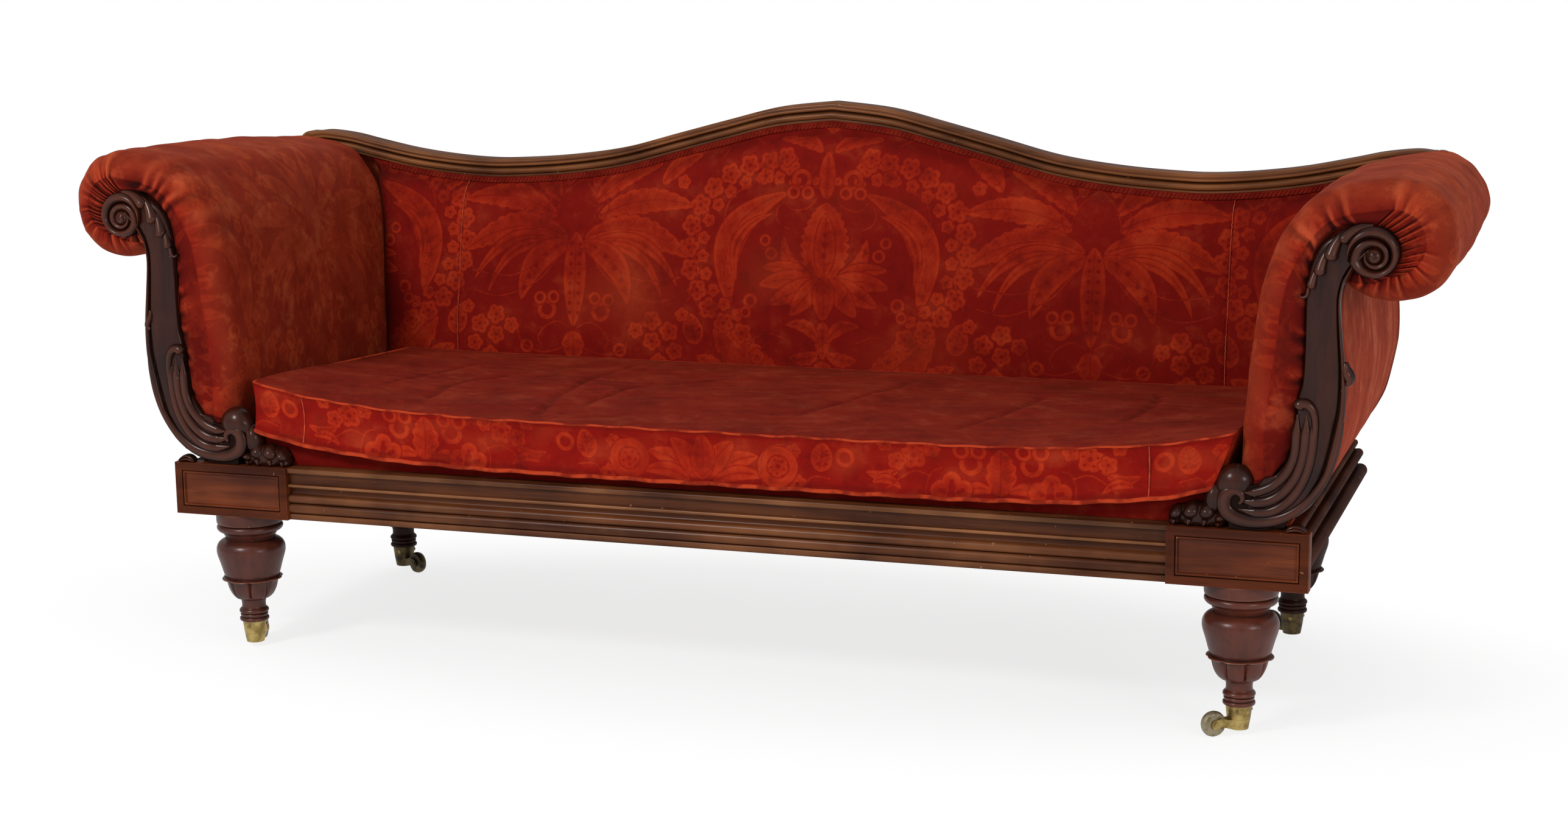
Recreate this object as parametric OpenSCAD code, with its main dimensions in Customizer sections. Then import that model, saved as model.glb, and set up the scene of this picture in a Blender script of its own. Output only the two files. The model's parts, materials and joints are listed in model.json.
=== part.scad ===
// Scroll-end sofa: a carved mahogany frame on four turned legs with brass
// casters, stuffed scroll arms and back, and a loose squab cushion.
// X runs along the sofa, Y from front to back and Z up from the floor.

/* [Overall] */
// Width over the two arm rolls
sofa_w = 2200; // [1900:10:2600]
// Depth from the front dies to the back of the rear rail
sofa_d = 704; // [660:4:800]
// Height of the crest at its peak
sofa_h = 860; // [840:5:920]

/* [Seat frame] */
// Height of the rail tops above the floor
rail_top = 314; // [300:2:340]
// Height of the front rail, the dies and the corner blocks
die_h = 85; // [75:1:95]
// Width of each front die
die_w = 203; // [180:1:240]
// Thickness of each front die
die_t = 25; // [20:1:30]
// Width of the border round a die's sunk panel
die_border = 13; // [8:1:20]
// Depth of a die's sunk panel
die_sink = 4; // [2:0.5:8]
// Width of the bead inside a die's border
die_bead = 4; // [2:0.5:6]
// Thickness of the front rail's body
front_rail_t = 36; // [30:1:42]
// Depth of the moulding in front of the front rail's body
front_mould_t = 6; // [4:0.5:8]
// How far the front moulding lies behind the dies' faces
front_rail_set = 5; // [2:1:8]
// Thickness of a side rail behind its moulding
side_rail_t = 47; // [44:1:56]
// Height of the side rails
side_rail_h = 64; // [56:1:74]
// Thickness of the rear rail
rear_rail_t = 48; // [40:1:60]
// Depth of a corner block from front to back
block_d = 106; // [100:1:120]
// Width of a seat bearer
bearer_w = 50; // [30:1:70]
// Height of a seat bearer
bearer_h = 42; // [30:1:55]
// Drop of the seat bearers below the webbing
bearer_drop = 14; // [8:1:20]
// Distance of each seat bearer from the middle
bearer_x = 270; // [200:5:400]

/* [Legs] */
// Distance from a leg's axis to the die's outer face
leg_in = 102; // [80:1:120]
// Distance from a front leg's axis to the front face
leg_front_set = 54; // [54:1:70]
// Distance from a rear leg's axis to the rear face
leg_rear_set = 114; // [106:1:140]
// Largest radius of the turned leg
leg_r = 55.5; // [48:0.5:58]
// Radius of the pin that holds a leg in its block
leg_pin_r = 17; // [12:0.5:20]
// Length of the pin that holds a leg in its block
leg_pin_l = 60; // [40:1:70]

/* [Arms] */
// How far an arm's inner face stands inside the die's outer face
arm_in = 109; // [90:1:130]
// Radius of the arm roll at its front end
roll_r = 85; // [70:1:95]
// How far the middle of the roll swells past its front end
roll_swell = 5; // [2:1:10]
// How far the roll's axis stands outside the die's outer face
roll_out = 98; // [90:1:110]
// Height of the roll's axis above the rail tops
roll_rise = 412; // [390:2:430]
// How far the arm's inner face opens out towards the back
arm_splay = 25; // [0:1:35]
// Depth of the rounding at the arm's front end
arm_round_d = 46; // [30:1:60]
// Inset of the arm's front face from its sides
arm_round_in = 40; // [20:1:44]
// How far the arm's fabric face lies behind the die's face
arm_face_set = 14; // [8:1:20]
// Thickness of the carved facing
facing_t = 33; // [28:1:40]
// Width over which the shaft of the facing stands outside the die line
shaft_out = 44; // [36:1:50]
// Height of the carving that stands proud of the facing
carve_t = 3; // [1:0.5:5]
// Radius of the volute at the top of the facing
volute_r = 37; // [30:1:42]
// Radius of the volute at the foot of the facing
foot_volute_r = 36; // [30:1:40]
// Radius of the round knob on the foot of the facing
knob_r = 22; // [16:1:26]
// Thickness of an arm post from front to back
post_t = 32; // [25:1:45]
// Radius of the timber inside the arm roll
core_r = 26; // [18:1:30]
// Thickness of the padded outer side of an arm
panel_t = 8; // [5:0.5:12]

/* [Back] */
// Thickness of the crest rail from front to back
crest_t = 44; // [36:1:48]
// Height of the crest rail's moulded face
crest_h = 31; // [26:1:36]
// Rise of the crest's peak above its lowest point
crest_rise = 109; // [80:1:130]
// Half the length of the crest rail
crest_reach = 1036; // [900:2:1080]
// Radius of the crest rail's rounded end
crest_end_r = 22; // [16:1:28]
// Thickness of the back's inner frame
back_frame_t = 27; // [20:1:32]
// Width of an end stile of the back
stile_w = 40; // [30:1:44]
// Height of the tongue under the crest rail
tongue_h = 25; // [15:1:30]
// Height of the tacking rail above the rail tops
tack_rise = 31; // [20:1:50]
// Height of the tacking rail's section
tack_h = 40; // [30:1:50]
// Distance of each upright of the back from the middle
upright_x = 300; // [200:5:420]
// Thickness of the back's stuffing where the squab meets it
back_pad_t = 78; // [60:1:95]
// Height of the gimp braid under the crest
gimp_h = 12; // [8:1:16]
// Thickness of the gimp braid
gimp_t = 3; // [2:0.5:4]
// Thickness of the cloth on the outside of the back
cover_t = 3.5; // [2:0.5:5]

/* [Squab] */
// Room at each end of the squab, shared out when it lies in the middle
squab_side_gap = 18; // [8:1:24]
// Thickness of the squab at its edge
squab_t = 83; // [60:1:100]
// Height of the squab's crown above its edge
squab_crown = 9; // [4:1:16]
// How far the boxing draws in between its two edges
squab_draw = 5; // [0:1:10]
// Radius of the piping round the squab
piping_r = 4; // [3:0.5:5]
// How far the squab's ends turn up over the arms' feet
squab_rise = 40; // [20:1:44]
// How far the squab's face lies behind the die's face
squab_set = 10; // [4:1:16]
// Thickness of the stuffed platform under the squab
platform_t = 12; // [8:1:18]

/* [Webbing] */
// Width of a strip of webbing
web_w = 50; // [40:1:60]
// Thickness of a strip of webbing
web_t = 2; // [1:0.5:3]

/* [Casters] */
// Radius of a caster wheel
wheel_r = 19; // [16:0.5:20]
// Width of a caster wheel
wheel_w = 13; // [10:0.5:14]
// Distance from the swivel's axis to the wheel's axle
trail = 42; // [40:0.5:48]
// Radius of the wheel's axle
axle_r = 2.5; // [2:0.1:3.5]
// Radius of the swivel pin
pin_r = 4; // [3:0.1:5]
// Radius of the brass cup at its mouth
cup_r = 19.5; // [18:0.5:22]
// Radius of the brass cup at its foot
cup_foot_r = 17.3; // [15:0.1:18]
// Height of the brass cup
cup_h = 20; // [16:0.5:24]
// Thickness of the brass cup's wall
cup_wall = 2; // [1.5:0.1:3]
// Height of the cup's foot above the floor
cup_z = 24; // [22:0.5:26]
// Thickness of one cheek of the caster's horn
cheek_t = 3; // [2:0.5:4]

/* [Hidden] */

// Number of sides of round pieces, and of small round pieces
round_fn = 96;
small_fn = 48;
// Clearance between soft pieces and what they lie against
gap = 0.3;
// Running clearance on a radius
run_gap = 0.05;
// Play of a swivel or wheel along its axis
end_play = 0.2;
// Overrun of cuts
over = 1;

// Main planes and lines, for the right-hand side
front_y = -sofa_d / 2;
back_y = sofa_d / 2;
frame_x = sofa_w / 2 - roll_swell - roll_r - roll_out;
die_in_x = frame_x - die_w;
die_z = rail_top - die_h;
block_x = frame_x - side_rail_t;
rail_face_y = front_y + front_rail_set;
rail_body_y = rail_face_y + front_mould_t;
rail_back_y = rail_body_y + front_rail_t;
rear_rail_y = back_y - rear_rail_t;
leg_x = frame_x - leg_in;
leg_front_y = front_y + leg_front_set;
leg_rear_y = back_y - leg_rear_set;

// Arm planes and sizes
arm_in_x = frame_x - arm_in;
roll_x = frame_x + roll_out;
roll_z = rail_top + roll_rise;
arm_h = roll_rise + roll_r;
post_y = front_y + facing_t;
cover_y = back_y - cover_t;
frame_back_y = cover_y - gap;
frame_front_y = frame_back_y - back_frame_t;
arm_back_y = back_y - crest_t - gap;
pad_front_y = post_y + gap;
soft_z = rail_top + web_t + gap;
// Margin of the rear rounding of an arm
arm_end_round = 10;
post_rear_y = arm_back_y - post_t - arm_end_round;
core_l = post_rear_y - post_y - post_t;

// Back planes
crest_low_z = sofa_h - crest_rise;
crest_y = back_y - crest_t;
web_front_y = frame_front_y - web_t;
back_pad_back_y = web_front_y - gap;
back_pad_front_y = back_pad_back_y - back_pad_t;

// Outline of the arm's inner face: share of its reach to the roll's axis,
// and share of its height
arm_inner_shares = [[0, 0.2], [0, 0.28], [0.02, 0.36], [0.043, 0.455],
    [0.101, 0.656], [0.179, 0.777], [0.314, 0.877], [0.493, 0.95], [0.71, 0.984]];
// Inner edge of the arm's front face, beside the facing: one point for each
// one above, as shares of shaft_out and of the arm's height
face_edge_shares = [[-0.92, 0.2], [-0.68, 0.28], [-0.9, 0.36], [-0.42, 0.455],
    [-0.4, 0.656], [-0.28, 0.77], [0.06, 0.84], [0.68, 0.885], [1.35, 0.885]];
// Inner side of the arm's timber: share of shaft_out from the die line,
// and share of the arm's height
timber_shares = [[-1.68, 0], [-1.41, 0.062], [-0.91, 0.113], [-0.5, 0.173],
    [-0.3, 0.24], [-0.34, 0.45], [-0.31, 0.65]];
// Outer side of the facing's shaft, from the foot up, in the same shares
shaft_outer_shares = [[-0.73, 0], [-0.45, 0.046], [0, 0.082], [0.36, 0.133],
    [0.64, 0.193], [0.93, 0.314], [1, 0.374], [0.98, 0.455], [0.86, 0.555],
    [0.75, 0.65], [0.8, 0.706]];
// Inner side of the facing, from the foot's scroll up to the volute
shaft_inner_shares = [[-1.64, 0.141], [-1.18, 0.163], [-0.89, 0.193],
    [-0.68, 0.233], [-0.55, 0.274], [-0.52, 0.344], [-0.8, 0.368], [-0.5, 0.384],
    [-0.32, 0.41], [-0.32, 0.54], [-0.32, 0.676], [-0.2, 0.757], [0.14, 0.821],
    [0.75, 0.865], [1.6, 0.872]];
// Centre of the upper volute, of the foot's volute and of the knob
volute_share = [1.7, 0.801];
foot_volute_share = -2.2;
knob_share = [-2.43, 0.125];
// Inner side of the post's head, above the timber line
post_head_shares = [[-0.18, 0.74], [0.36, 0.81], [1.43, 0.866]];

// Crest's upper edge: share of the reach and share of the rise
crest_shares = [[0, 1], [0.097, 0.9], [0.183, 0.7], [0.275, 0.47], [0.38, 0.21],
    [0.483, 0.07], [0.58, 0.005], [0.637, 0], [0.705, 0.045], [0.775, 0.13],
    [0.847, 0.265], [0.894, 0.36], [0.942, 0.41], [0.967, 0.39]];
// Bands of the crest's moulding: from, to and how far each lies back
crest_band_shares = [[0, 0.24, 0.06], [0.24, 0.44, 0], [0.44, 0.54, 0.1],
    [0.54, 0.9, 0.02], [0.9, 1, 0.08]];
// Centre of the crest's round end above the crest's lowest point
crest_end_share = 0.19;

// Front face of the back's stuffing: share of its height and share of the
// way from the squab's line back to the edge under the crest
back_pad_shares = [[0, 0], [0.3, 0.02], [0.45, 0.12], [0.6, 0.26], [0.75, 0.42],
    [0.86, 0.57], [0.93, 0.73], [0.97, 0.985], [1, 1]];
back_margin_share = 0.985;

// Turned leg: share of its radius and share of its height, from the top down
leg_shares = [[0.937, 1], [0.964, 0.995], [0.964, 0.908], [0.919, 0.9],
    [0.892, 0.892], [0.942, 0.878], [0.964, 0.859], [0.942, 0.84], [0.892, 0.826],
    [0.811, 0.818], [0.757, 0.789], [0.712, 0.756], [0.829, 0.74], [0.928, 0.718],
    [0.986, 0.685], [1, 0.653], [0.984, 0.61], [0.901, 0.528], [0.82, 0.441],
    [0.784, 0.412], [0.829, 0.401], [0.847, 0.387], [0.829, 0.374],
    [0.757, 0.366], [0.721, 0.322], [0.658, 0.273], [0.559, 0.23], [0.45, 0.203],
    [0.369, 0.192], [0.348, 0.159], [0.357, 0.121], [0.405, 0.108],
    [0.432, 0.092], [0.414, 0.077], [0.378, 0.07], [0.405, 0.059],
    [0.391, 0.046], [0.391, 0.035], [0.42, 0.028], [0.429, 0.015], [0.405, 0.002]];

// Sizes of the small pieces
leg_end_gap = 0.5;
toe_gap = 0.1;
pin_head_r = 7;
pin_head_h = 1.7;
hub_z = 8;
hub_foot_r = 14.5;
boss_r = 7;
rivet_r = 4;
rivet_h = 1;
cheek_gap = 0.5;
screw_r = 1.4;
screw_l = 9;
screw_head_r = 3;
screw_head_h = 1.2;
screw_z_share = 0.6;
screw_z = cup_z + cup_h * screw_z_share;
paw_h = 41;
paw_w = 77;
paw_toe_r = 13;
paw_toe_count = 4;
toe_top_shares = [0.62, 0.74, 0.86, 0.98];
tenon_gap = 0.2;
cross_webs = 9;
long_webs = 4;
back_cross_webs = 3;
back_up_webs = 9;
squab_rest_gap = 1;
squab_w = 2 * (arm_in_x - squab_side_gap);
squab_shift = squab_side_gap - squab_rest_gap;
squab_splay = 15;
squab_taper = 28;

// Resting headings of the four casters
front_left_turn = 105;
front_right_turn = 220;
rear_left_turn = -28;
rear_right_turn = 150;

// Finishes
mahogany = [0.30, 0.15, 0.10];
beech = [0.72, 0.55, 0.36];
velvet = [0.47, 0.07, 0.03];
velvet_light = [0.56, 0.13, 0.06];
squab_red = [0.50, 0.08, 0.04];
braid_red = [0.42, 0.05, 0.05];
jute = [0.68, 0.58, 0.40];
brass = [0.62, 0.52, 0.28];

// Point t of the way from b to c on a smooth curve through a, b, c and d
function curve_point(a, b, c, d, t) =
    ((2 * b) + (c - a) * t + (2 * a - 5 * b + 4 * c - d) * t * t
    + (3 * b - a - 3 * c + d) * t * t * t) / 2;

// Smooth curve through the points, with n steps between two of them
function smooth(pts, n) = let (last = len(pts) - 1) concat(
    [for (i = [0:last - 1]) for (j = [0:n - 1])
        curve_point(pts[max(i - 1, 0)], pts[i], pts[i + 1],
            pts[min(i + 2, last)], j / n)],
    [pts[last]]);

function backwards(list) = [for (i = [len(list) - 1:-1:0]) list[i]];
function swapped(list) = [for (p = list) [p[1], p[0]]];
function clamp(v) = max(0, min(1, v));
function blend(a, b, t) = a + (b - a) * t;

// The line's points moved to its left by d
function moved(list, d) = let (last = len(list) - 1) [for (i = [0:last])
    let (a = list[max(i - 1, 0)], b = list[min(i + 1, last)], t = (b - a) / norm(b - a))
        list[i] + [-t[1], t[0]] * d];

// Places in the arm's front view from shares of the shaft and of the height
function arm_spot(s) = [frame_x + s[0] * shaft_out, rail_top + s[1] * arm_h];
function arm_spots(list) = [for (s = list) arm_spot(s)];

shaft_outer = smooth(arm_spots(shaft_outer_shares), 3);
shaft_inner = smooth(arm_spots(shaft_inner_shares), 3);
timber = smooth(arm_spots(timber_shares), 2);
arm_inner = smooth([for (s = arm_inner_shares)
    [arm_in_x + s[0] * (roll_x - arm_in_x), rail_top + s[1] * arm_h]], 3);
volute_at = arm_spot(volute_share);
foot_volute_at = [frame_x + foot_volute_share * shaft_out, rail_top + foot_volute_r];
knob_at = arm_spot(knob_share);
pad_w = timber[len(timber) - 1][0] - arm_in_x;

// Inner face of the arm at height z, before it opens out
function arm_inner_x(z) = lookup(z, swapped(arm_inner));

// The crest's upper edge at x, and its whole line
crest_line = smooth([for (s = crest_shares)
    [s[0] * crest_reach, crest_low_z + s[1] * crest_rise]], 3);
function crest_z(x) = lookup(abs(x), crest_line);
crest_full = concat([for (p = backwards(crest_line)) [-p[0], p[1]]],
    [for (i = [1:len(crest_line) - 1]) crest_line[i]]);
crest_end_x = crest_reach - crest_end_r;
crest_end_z = crest_low_z + crest_end_share * crest_rise;

// Height by which the squab's ends turn up at x
function end_rise(x) = let (t = clamp(abs(x) / (squab_w / 2)))
    squab_rise * t * t * t * t * t;

// Turns what follows to the left-hand side when s is negative
module side(s) {
    if (s < 0) mirror([1, 0, 0]) children();
    else children();
}

// A box between two opposite corners
module span(a, b) {
    translate([min(a[0], b[0]), min(a[1], b[1]), min(a[2], b[2])])
        cube([abs(b[0] - a[0]), abs(b[1] - a[1]), abs(b[2] - a[2])]);
}

// Extrudes a front view, drawn in X and Z, from y0 back to y1
module front_view(y0, y1) {
    translate([0, y1, 0]) rotate([90, 0, 0]) linear_extrude(y1 - y0) children();
}

// Extrudes a side view, drawn in Y and Z, from x0 to x1
module side_view(x0, x1) {
    translate([x0, 0, 0]) rotate([90, 0, 90]) linear_extrude(x1 - x0) children();
}

// A rectangle between two opposite corners
module patch(x0, z0, x1, z1) {
    translate([x0, z0]) square([x1 - x0, z1 - z0]);
}

module dot(x, z, r) {
    translate([x, z]) circle(r, $fn = small_fn);
}

// Front rail: a fascia under a fillet, a thin bead, a hollow and two reeds
fillet_h = 8;
fascia_h = 18;
thin_bead_r = 2.7;
upper_reed_r = 7;
lower_reed_r = 8.5;
foot_fillet_h = 10;
module front_rail_profile() {
    top = rail_top - gap;
    foot = die_z + gap;
    bead_z = top - fillet_h - fascia_h - thin_bead_r;
    lower_z = foot + foot_fillet_h + lower_reed_r;
    upper_z = lower_z + lower_reed_r + upper_reed_r;
    patch(rail_body_y, foot, rail_back_y, top);
    patch(rail_face_y, top - fillet_h, rail_body_y, top);
    patch(rail_body_y - front_mould_t / 2, bead_z, rail_body_y, top - fillet_h);
    dot(rail_body_y - thin_bead_r, bead_z, thin_bead_r);
    dot(rail_face_y + upper_reed_r, upper_z, upper_reed_r);
    dot(rail_face_y + lower_reed_r, lower_z, lower_reed_r);
    patch(rail_body_y - front_mould_t / 2, foot, rail_body_y, foot + foot_fillet_h);
}

module front_rail() {
    color(mahogany) side_view(-die_in_x, die_in_x) front_rail_profile();
}

module rear_rail() {
    color(beech) span([-block_x, rear_rail_y, rail_top - side_rail_h],
        [block_x, back_y, rail_top]);
}

// Side rail: two beads over hollows and a rounded lip at the bottom
top_bead_r = 6;
mid_bead_r = 7;
lip_r = 11;
side_step = 15;
side_hollow = 7;
module side_rail(s) {
    foot = rail_top - side_rail_h;
    inner = frame_x - side_rail_t;
    neck_x = frame_x - side_step;
    top_bead_z = rail_top - top_bead_r / 2;
    mid_bead_z = top_bead_z - top_bead_r - mid_bead_r - side_hollow;
    color(mahogany) side(s) front_view(front_y + die_t, back_y) {
        patch(inner, foot, neck_x - side_hollow, rail_top);
        patch(inner, mid_bead_z, neck_x - top_bead_r, top_bead_z);
        dot(neck_x - top_bead_r, top_bead_z, top_bead_r);
        dot(neck_x, mid_bead_z, mid_bead_r);
        patch(inner, foot + lip_r, neck_x, mid_bead_z);
        patch(inner, foot, frame_x - lip_r, foot + lip_r + mid_bead_r);
        dot(frame_x - lip_r - gap, foot + lip_r, lip_r);
    }
}

// Front die: a block with a sunk panel and a bead inside the border
module front_die(s) {
    rim = die_border + die_bead;
    color(mahogany) side(s) difference() {
        span([die_in_x, front_y, die_z], [frame_x, front_y + die_t, rail_top]);
        span([die_in_x + die_border, front_y - over, die_z + die_border],
            [frame_x - die_border, front_y + die_sink / 2, rail_top - die_border]);
        span([die_in_x + rim, front_y - over, die_z + rim],
            [frame_x - rim, front_y + die_sink, rail_top - rim]);
    }
}

// Corner block with the socket for its leg's pin; front is 1 or 0
module corner_block(s, front) {
    y0 = front ? front_y + die_t : leg_rear_y - block_d / 2;
    y1 = front ? front_y + die_t + block_d : rear_rail_y;
    leg_y = front ? leg_front_y : leg_rear_y;
    color(beech) side(s) difference() {
        union() {
            span([die_in_x, y0, die_z], [block_x, y1, rail_top]);
            if (front) span([die_in_x, y0, die_z],
                [frame_x - side_step - side_hollow, y1, rail_top - side_rail_h]);
        }
        translate([leg_x, leg_y, die_z - over]) cylinder(
            h = leg_pin_l + leg_end_gap + over, r = leg_pin_r + run_gap, $fn = round_fn);
    }
}

// Turned leg, its toe in the caster cup and its pin in the block
toe_r = cup_r - cup_wall - toe_gap;
toe_foot_r = cup_foot_r - cup_wall - toe_gap;
cup_floor_z = cup_z + cup_wall + end_play;
toe_z = cup_floor_z + pin_head_h + leg_end_gap;
turning_z = cup_z + cup_h + toe_gap;
turning_h = die_z - turning_z;
module leg(s, y) {
    color(mahogany) side(s) translate([leg_x, y, 0]) difference() {
        union() {
            rotate_extrude($fn = round_fn) polygon(concat([[0, die_z]],
                [for (p = leg_shares) [p[0] * leg_r, turning_z + p[1] * turning_h]],
                [[toe_r, turning_z], [toe_foot_r, toe_z], [0, toe_z]]));
            translate([0, 0, die_z]) cylinder(h = leg_pin_l, r = leg_pin_r, $fn = round_fn);
        }
        cup_screw_places() translate([-over, 0, 0])
            rotate([0, 90, 0])
            cylinder(h = screw_l + over, r = screw_r + run_gap, $fn = small_fn);
    }
}

// Children at each screw of a cup, with X pointing out from the screw's tip
cup_at_screw = blend(cup_foot_r, cup_r, (screw_z + screw_head_r - cup_z) / cup_h);
module cup_screw_places() {
    for (turn = [30, 150, 270]) rotate([0, 0, turn])
        translate([cup_at_screw + toe_gap - screw_l, 0, screw_z]) children();
}

module cup_screws() {
    color(brass) for (s = [-1, 1]) for (y = [leg_front_y, leg_rear_y])
        side(s) translate([leg_x, y, 0]) cup_screw_places() rotate([0, 90, 0]) {
            cylinder(h = screw_l, r = screw_r, $fn = small_fn);
            translate([0, 0, screw_l])
                cylinder(h = screw_head_h, r = screw_head_r, $fn = small_fn);
        }
}

// Brass cup on the leg's toe, with the hole for the swivel pin in its floor
module caster_cup(s, y) {
    color(brass) side(s) translate([leg_x, y, 0]) difference() {
        translate([0, 0, cup_z]) cylinder(h = cup_h, r1 = cup_foot_r, r2 = cup_r, $fn = round_fn);
        translate([0, 0, cup_z + cup_wall]) cylinder(h = cup_h - cup_wall + toe_gap,
            r1 = cup_foot_r - cup_wall + toe_gap, r2 = cup_r - cup_wall + toe_gap,
            $fn = round_fn);
        translate([0, 0, cup_z - over])
            cylinder(h = cup_wall + 2 * over, r = pin_r + run_gap, $fn = round_fn);
        cup_screw_places() rotate([0, 90, 0]) cylinder(h = screw_l + over,
            r = screw_r + run_gap, $fn = small_fn);
    }
}

// Horn: a hub under the cup, the swivel pin and two cheeks to the axle
hub_top_z = cup_z - end_play;
hub_r = cup_foot_r - toe_gap;
cheek_in = wheel_w / 2 + cheek_gap;
cheek_arch = 4;
cheek_neck_share = 0.48;
cheek_crown_share = 0.8;
module cheek() {
    neck_x = trail * cheek_neck_share;
    crown_x = trail * cheek_crown_share;
    front_view(-cheek_t, 0) {
        polygon([[hub_foot_r / 2, hub_z + cheek_t], [hub_foot_r / 2, hub_top_z],
            [neck_x, hub_top_z], [crown_x, hub_top_z + cheek_arch],
            [trail, wheel_r + boss_r], [trail, wheel_r - boss_r],
            [crown_x, wheel_r - boss_r / 2], [neck_x, hub_z + cheek_t]]);
        dot(trail, wheel_r, boss_r);
    }
}

module caster_horn(x, y, turn) {
    color(brass) translate([x, y, 0]) rotate([0, 0, turn]) {
        translate([0, 0, hub_z])
            cylinder(h = hub_top_z - hub_z, r1 = hub_foot_r, r2 = hub_r, $fn = round_fn);
        cylinder_from(hub_top_z - over, cup_floor_z, pin_r);
        cylinder_from(cup_floor_z, cup_floor_z + pin_head_h, pin_head_r);
        translate([0, cheek_in + cheek_t, 0]) cheek();
        translate([0, -cheek_in, 0]) cheek();
        translate([trail, 0, wheel_r]) rotate([90, 0, 0]) {
            cylinder(h = 2 * (cheek_in + cheek_t), r = axle_r, center = true, $fn = small_fn);
            for (end = [-1, 1]) translate([0, 0, end * (cheek_in + cheek_t + rivet_h / 2)])
                cylinder(h = rivet_h, r = rivet_r, center = true, $fn = small_fn);
        }
    }
}

module cylinder_from(z0, z1, r) {
    translate([0, 0, z0]) cylinder(h = z1 - z0, r = r, $fn = round_fn);
}

// Wheel with a slightly crowned tread and the bore for its axle
wheel_crown = 1;
module caster_wheel(x, y, turn) {
    half = wheel_w / 2;
    color(brass) translate([x, y, 0]) rotate([0, 0, turn])
        translate([trail, 0, wheel_r]) rotate([90, 0, 0]) rotate_extrude($fn = round_fn)
        polygon([[axle_r + run_gap, -half], [wheel_r - 2 * wheel_crown, -half],
            [wheel_r - wheel_crown / 2, -half / 2], [wheel_r, 0],
            [wheel_r - wheel_crown / 2, half / 2],
            [wheel_r - 2 * wheel_crown, half], [axle_r + run_gap, half]]);
}

module seat_bearer(s) {
    top = rail_top - bearer_drop;
    color(beech) side(s) span([bearer_x - bearer_w / 2, rail_back_y, top - bearer_h],
        [bearer_x + bearer_w / 2, rear_rail_y, top]);
}

// Woven strips tacked to the rails' tops
module seat_webbing() {
    y0 = post_y + gap;
    y1 = frame_front_y - gap;
    reach = arm_in_x - web_w;
    long_x = shaft_outer[0][0] - panel_t - gap;
    long_y0 = post_y + post_t + web_w / 2;
    long_y1 = post_rear_y - web_w;
    color(jute) {
        for (i = [0:cross_webs - 1]) let (x = blend(-reach, reach, i / (cross_webs - 1)))
            span([x - web_w / 2, y0, rail_top], [x + web_w / 2, y1, rail_top + web_t]);
        for (i = [0:long_webs - 1]) let (y = blend(long_y0, long_y1, i / (long_webs - 1)))
            span([-long_x, y, rail_top], [long_x, y + web_w, rail_top + web_t]);
    }
}

// Stuffed platform on the webbing; its ends rise under the squab's ends
module seat_platform() {
    reach = arm_in_x - 2 * gap;
    steps = 48;
    top = [for (i = [0:steps]) let (x = blend(reach, -reach, i / steps))
        [x, soft_z + platform_t - gap + end_rise(max(0, abs(x) - squab_shift))]];
    color(velvet) front_view(post_y + gap, back_pad_front_y - gap)
        polygon(concat([[-reach, soft_z - gap], [reach, soft_z - gap]], top));
}

// The carved facing's outline: an S-shaft, a volute and a scrolled foot
module facing_outline(grow) {
    polygon(concat(moved(shaft_inner, grow), backwards(moved(shaft_outer, -grow)),
        [[frame_x + foot_volute_share * shaft_out, rail_top]]));
    dot(volute_at[0], volute_at[1], volute_r + grow);
    dot(foot_volute_at[0], foot_volute_at[1], foot_volute_r + grow);
    dot(knob_at[0], knob_at[1], knob_r + grow);
}

ring_share = 0.74;
eye_share = 0.34;
module scroll_eye(at, r) {
    translate([at[0], front_y + carve_t, at[1]]) rotate([90, 0, 0]) {
        cylinder(h = carve_t, r = r * eye_share, $fn = small_fn);
        difference() {
            cylinder(h = carve_t, r = r, $fn = small_fn);
            translate([0, 0, -over])
                cylinder(h = carve_t + 2 * over, r = r * ring_share, $fn = small_fn);
        }
    }
}

// Facing with its proud outer bead, the rings and eyes of its scrolls
bead_share = 0.2;
module arm_facing(s) {
    rib = shaft_out * bead_share;
    color(mahogany) side(s) {
        front_view(front_y + carve_t, post_y) facing_outline(0);
        front_view(front_y, front_y + carve_t) polygon(concat(shaft_outer,
            [for (p = backwards(shaft_outer)) [p[0] - rib, p[1] + rib * bead_share]]));
        scroll_eye(volute_at, volute_r);
        scroll_eye(foot_volute_at, foot_volute_r);
        intersection() {
            translate([knob_at[0], front_y + knob_r, knob_at[1]])
                sphere(r = knob_r, $fn = small_fn);
            span([knob_at[0] - knob_r, front_y, rail_top],
                [knob_at[0] + knob_r, post_y, roll_z]);
        }
    }
}

// Paw on the die: a row of toes, cut flat underneath and behind
module arm_paw(s) {
    x1 = foot_volute_at[0] - foot_volute_r - gap;
    x0 = x1 - paw_w + gap;
    step = (paw_w - 2 * paw_toe_r) / (paw_toe_count - 1);
    color(mahogany) side(s) intersection() {
        span([x0 - over, front_y + carve_t / 2, rail_top], [x1, post_y, rail_top + paw_h]);
        union() for (i = [0:paw_toe_count - 1]) let (
            x = x0 + paw_toe_r + i * step,
            top = rail_top + paw_h * toe_top_shares[i]) {
            translate([x, front_y + paw_toe_r + carve_t, top - paw_toe_r])
                sphere(r = paw_toe_r, $fn = small_fn);
            translate([x, front_y + paw_toe_r + carve_t, rail_top - over]) cylinder(
                h = top - paw_toe_r - rail_top + over, r = paw_toe_r, $fn = small_fn);
            translate([x, post_y, top - paw_toe_r]) rotate([90, 0, 0])
                cylinder(h = facing_t - paw_toe_r - carve_t, r = paw_toe_r, $fn = small_fn);
            span([x - paw_toe_r, front_y + paw_toe_r + carve_t, rail_top],
                [x + paw_toe_r, post_y, top - paw_toe_r]);
        }
    }
}

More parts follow.
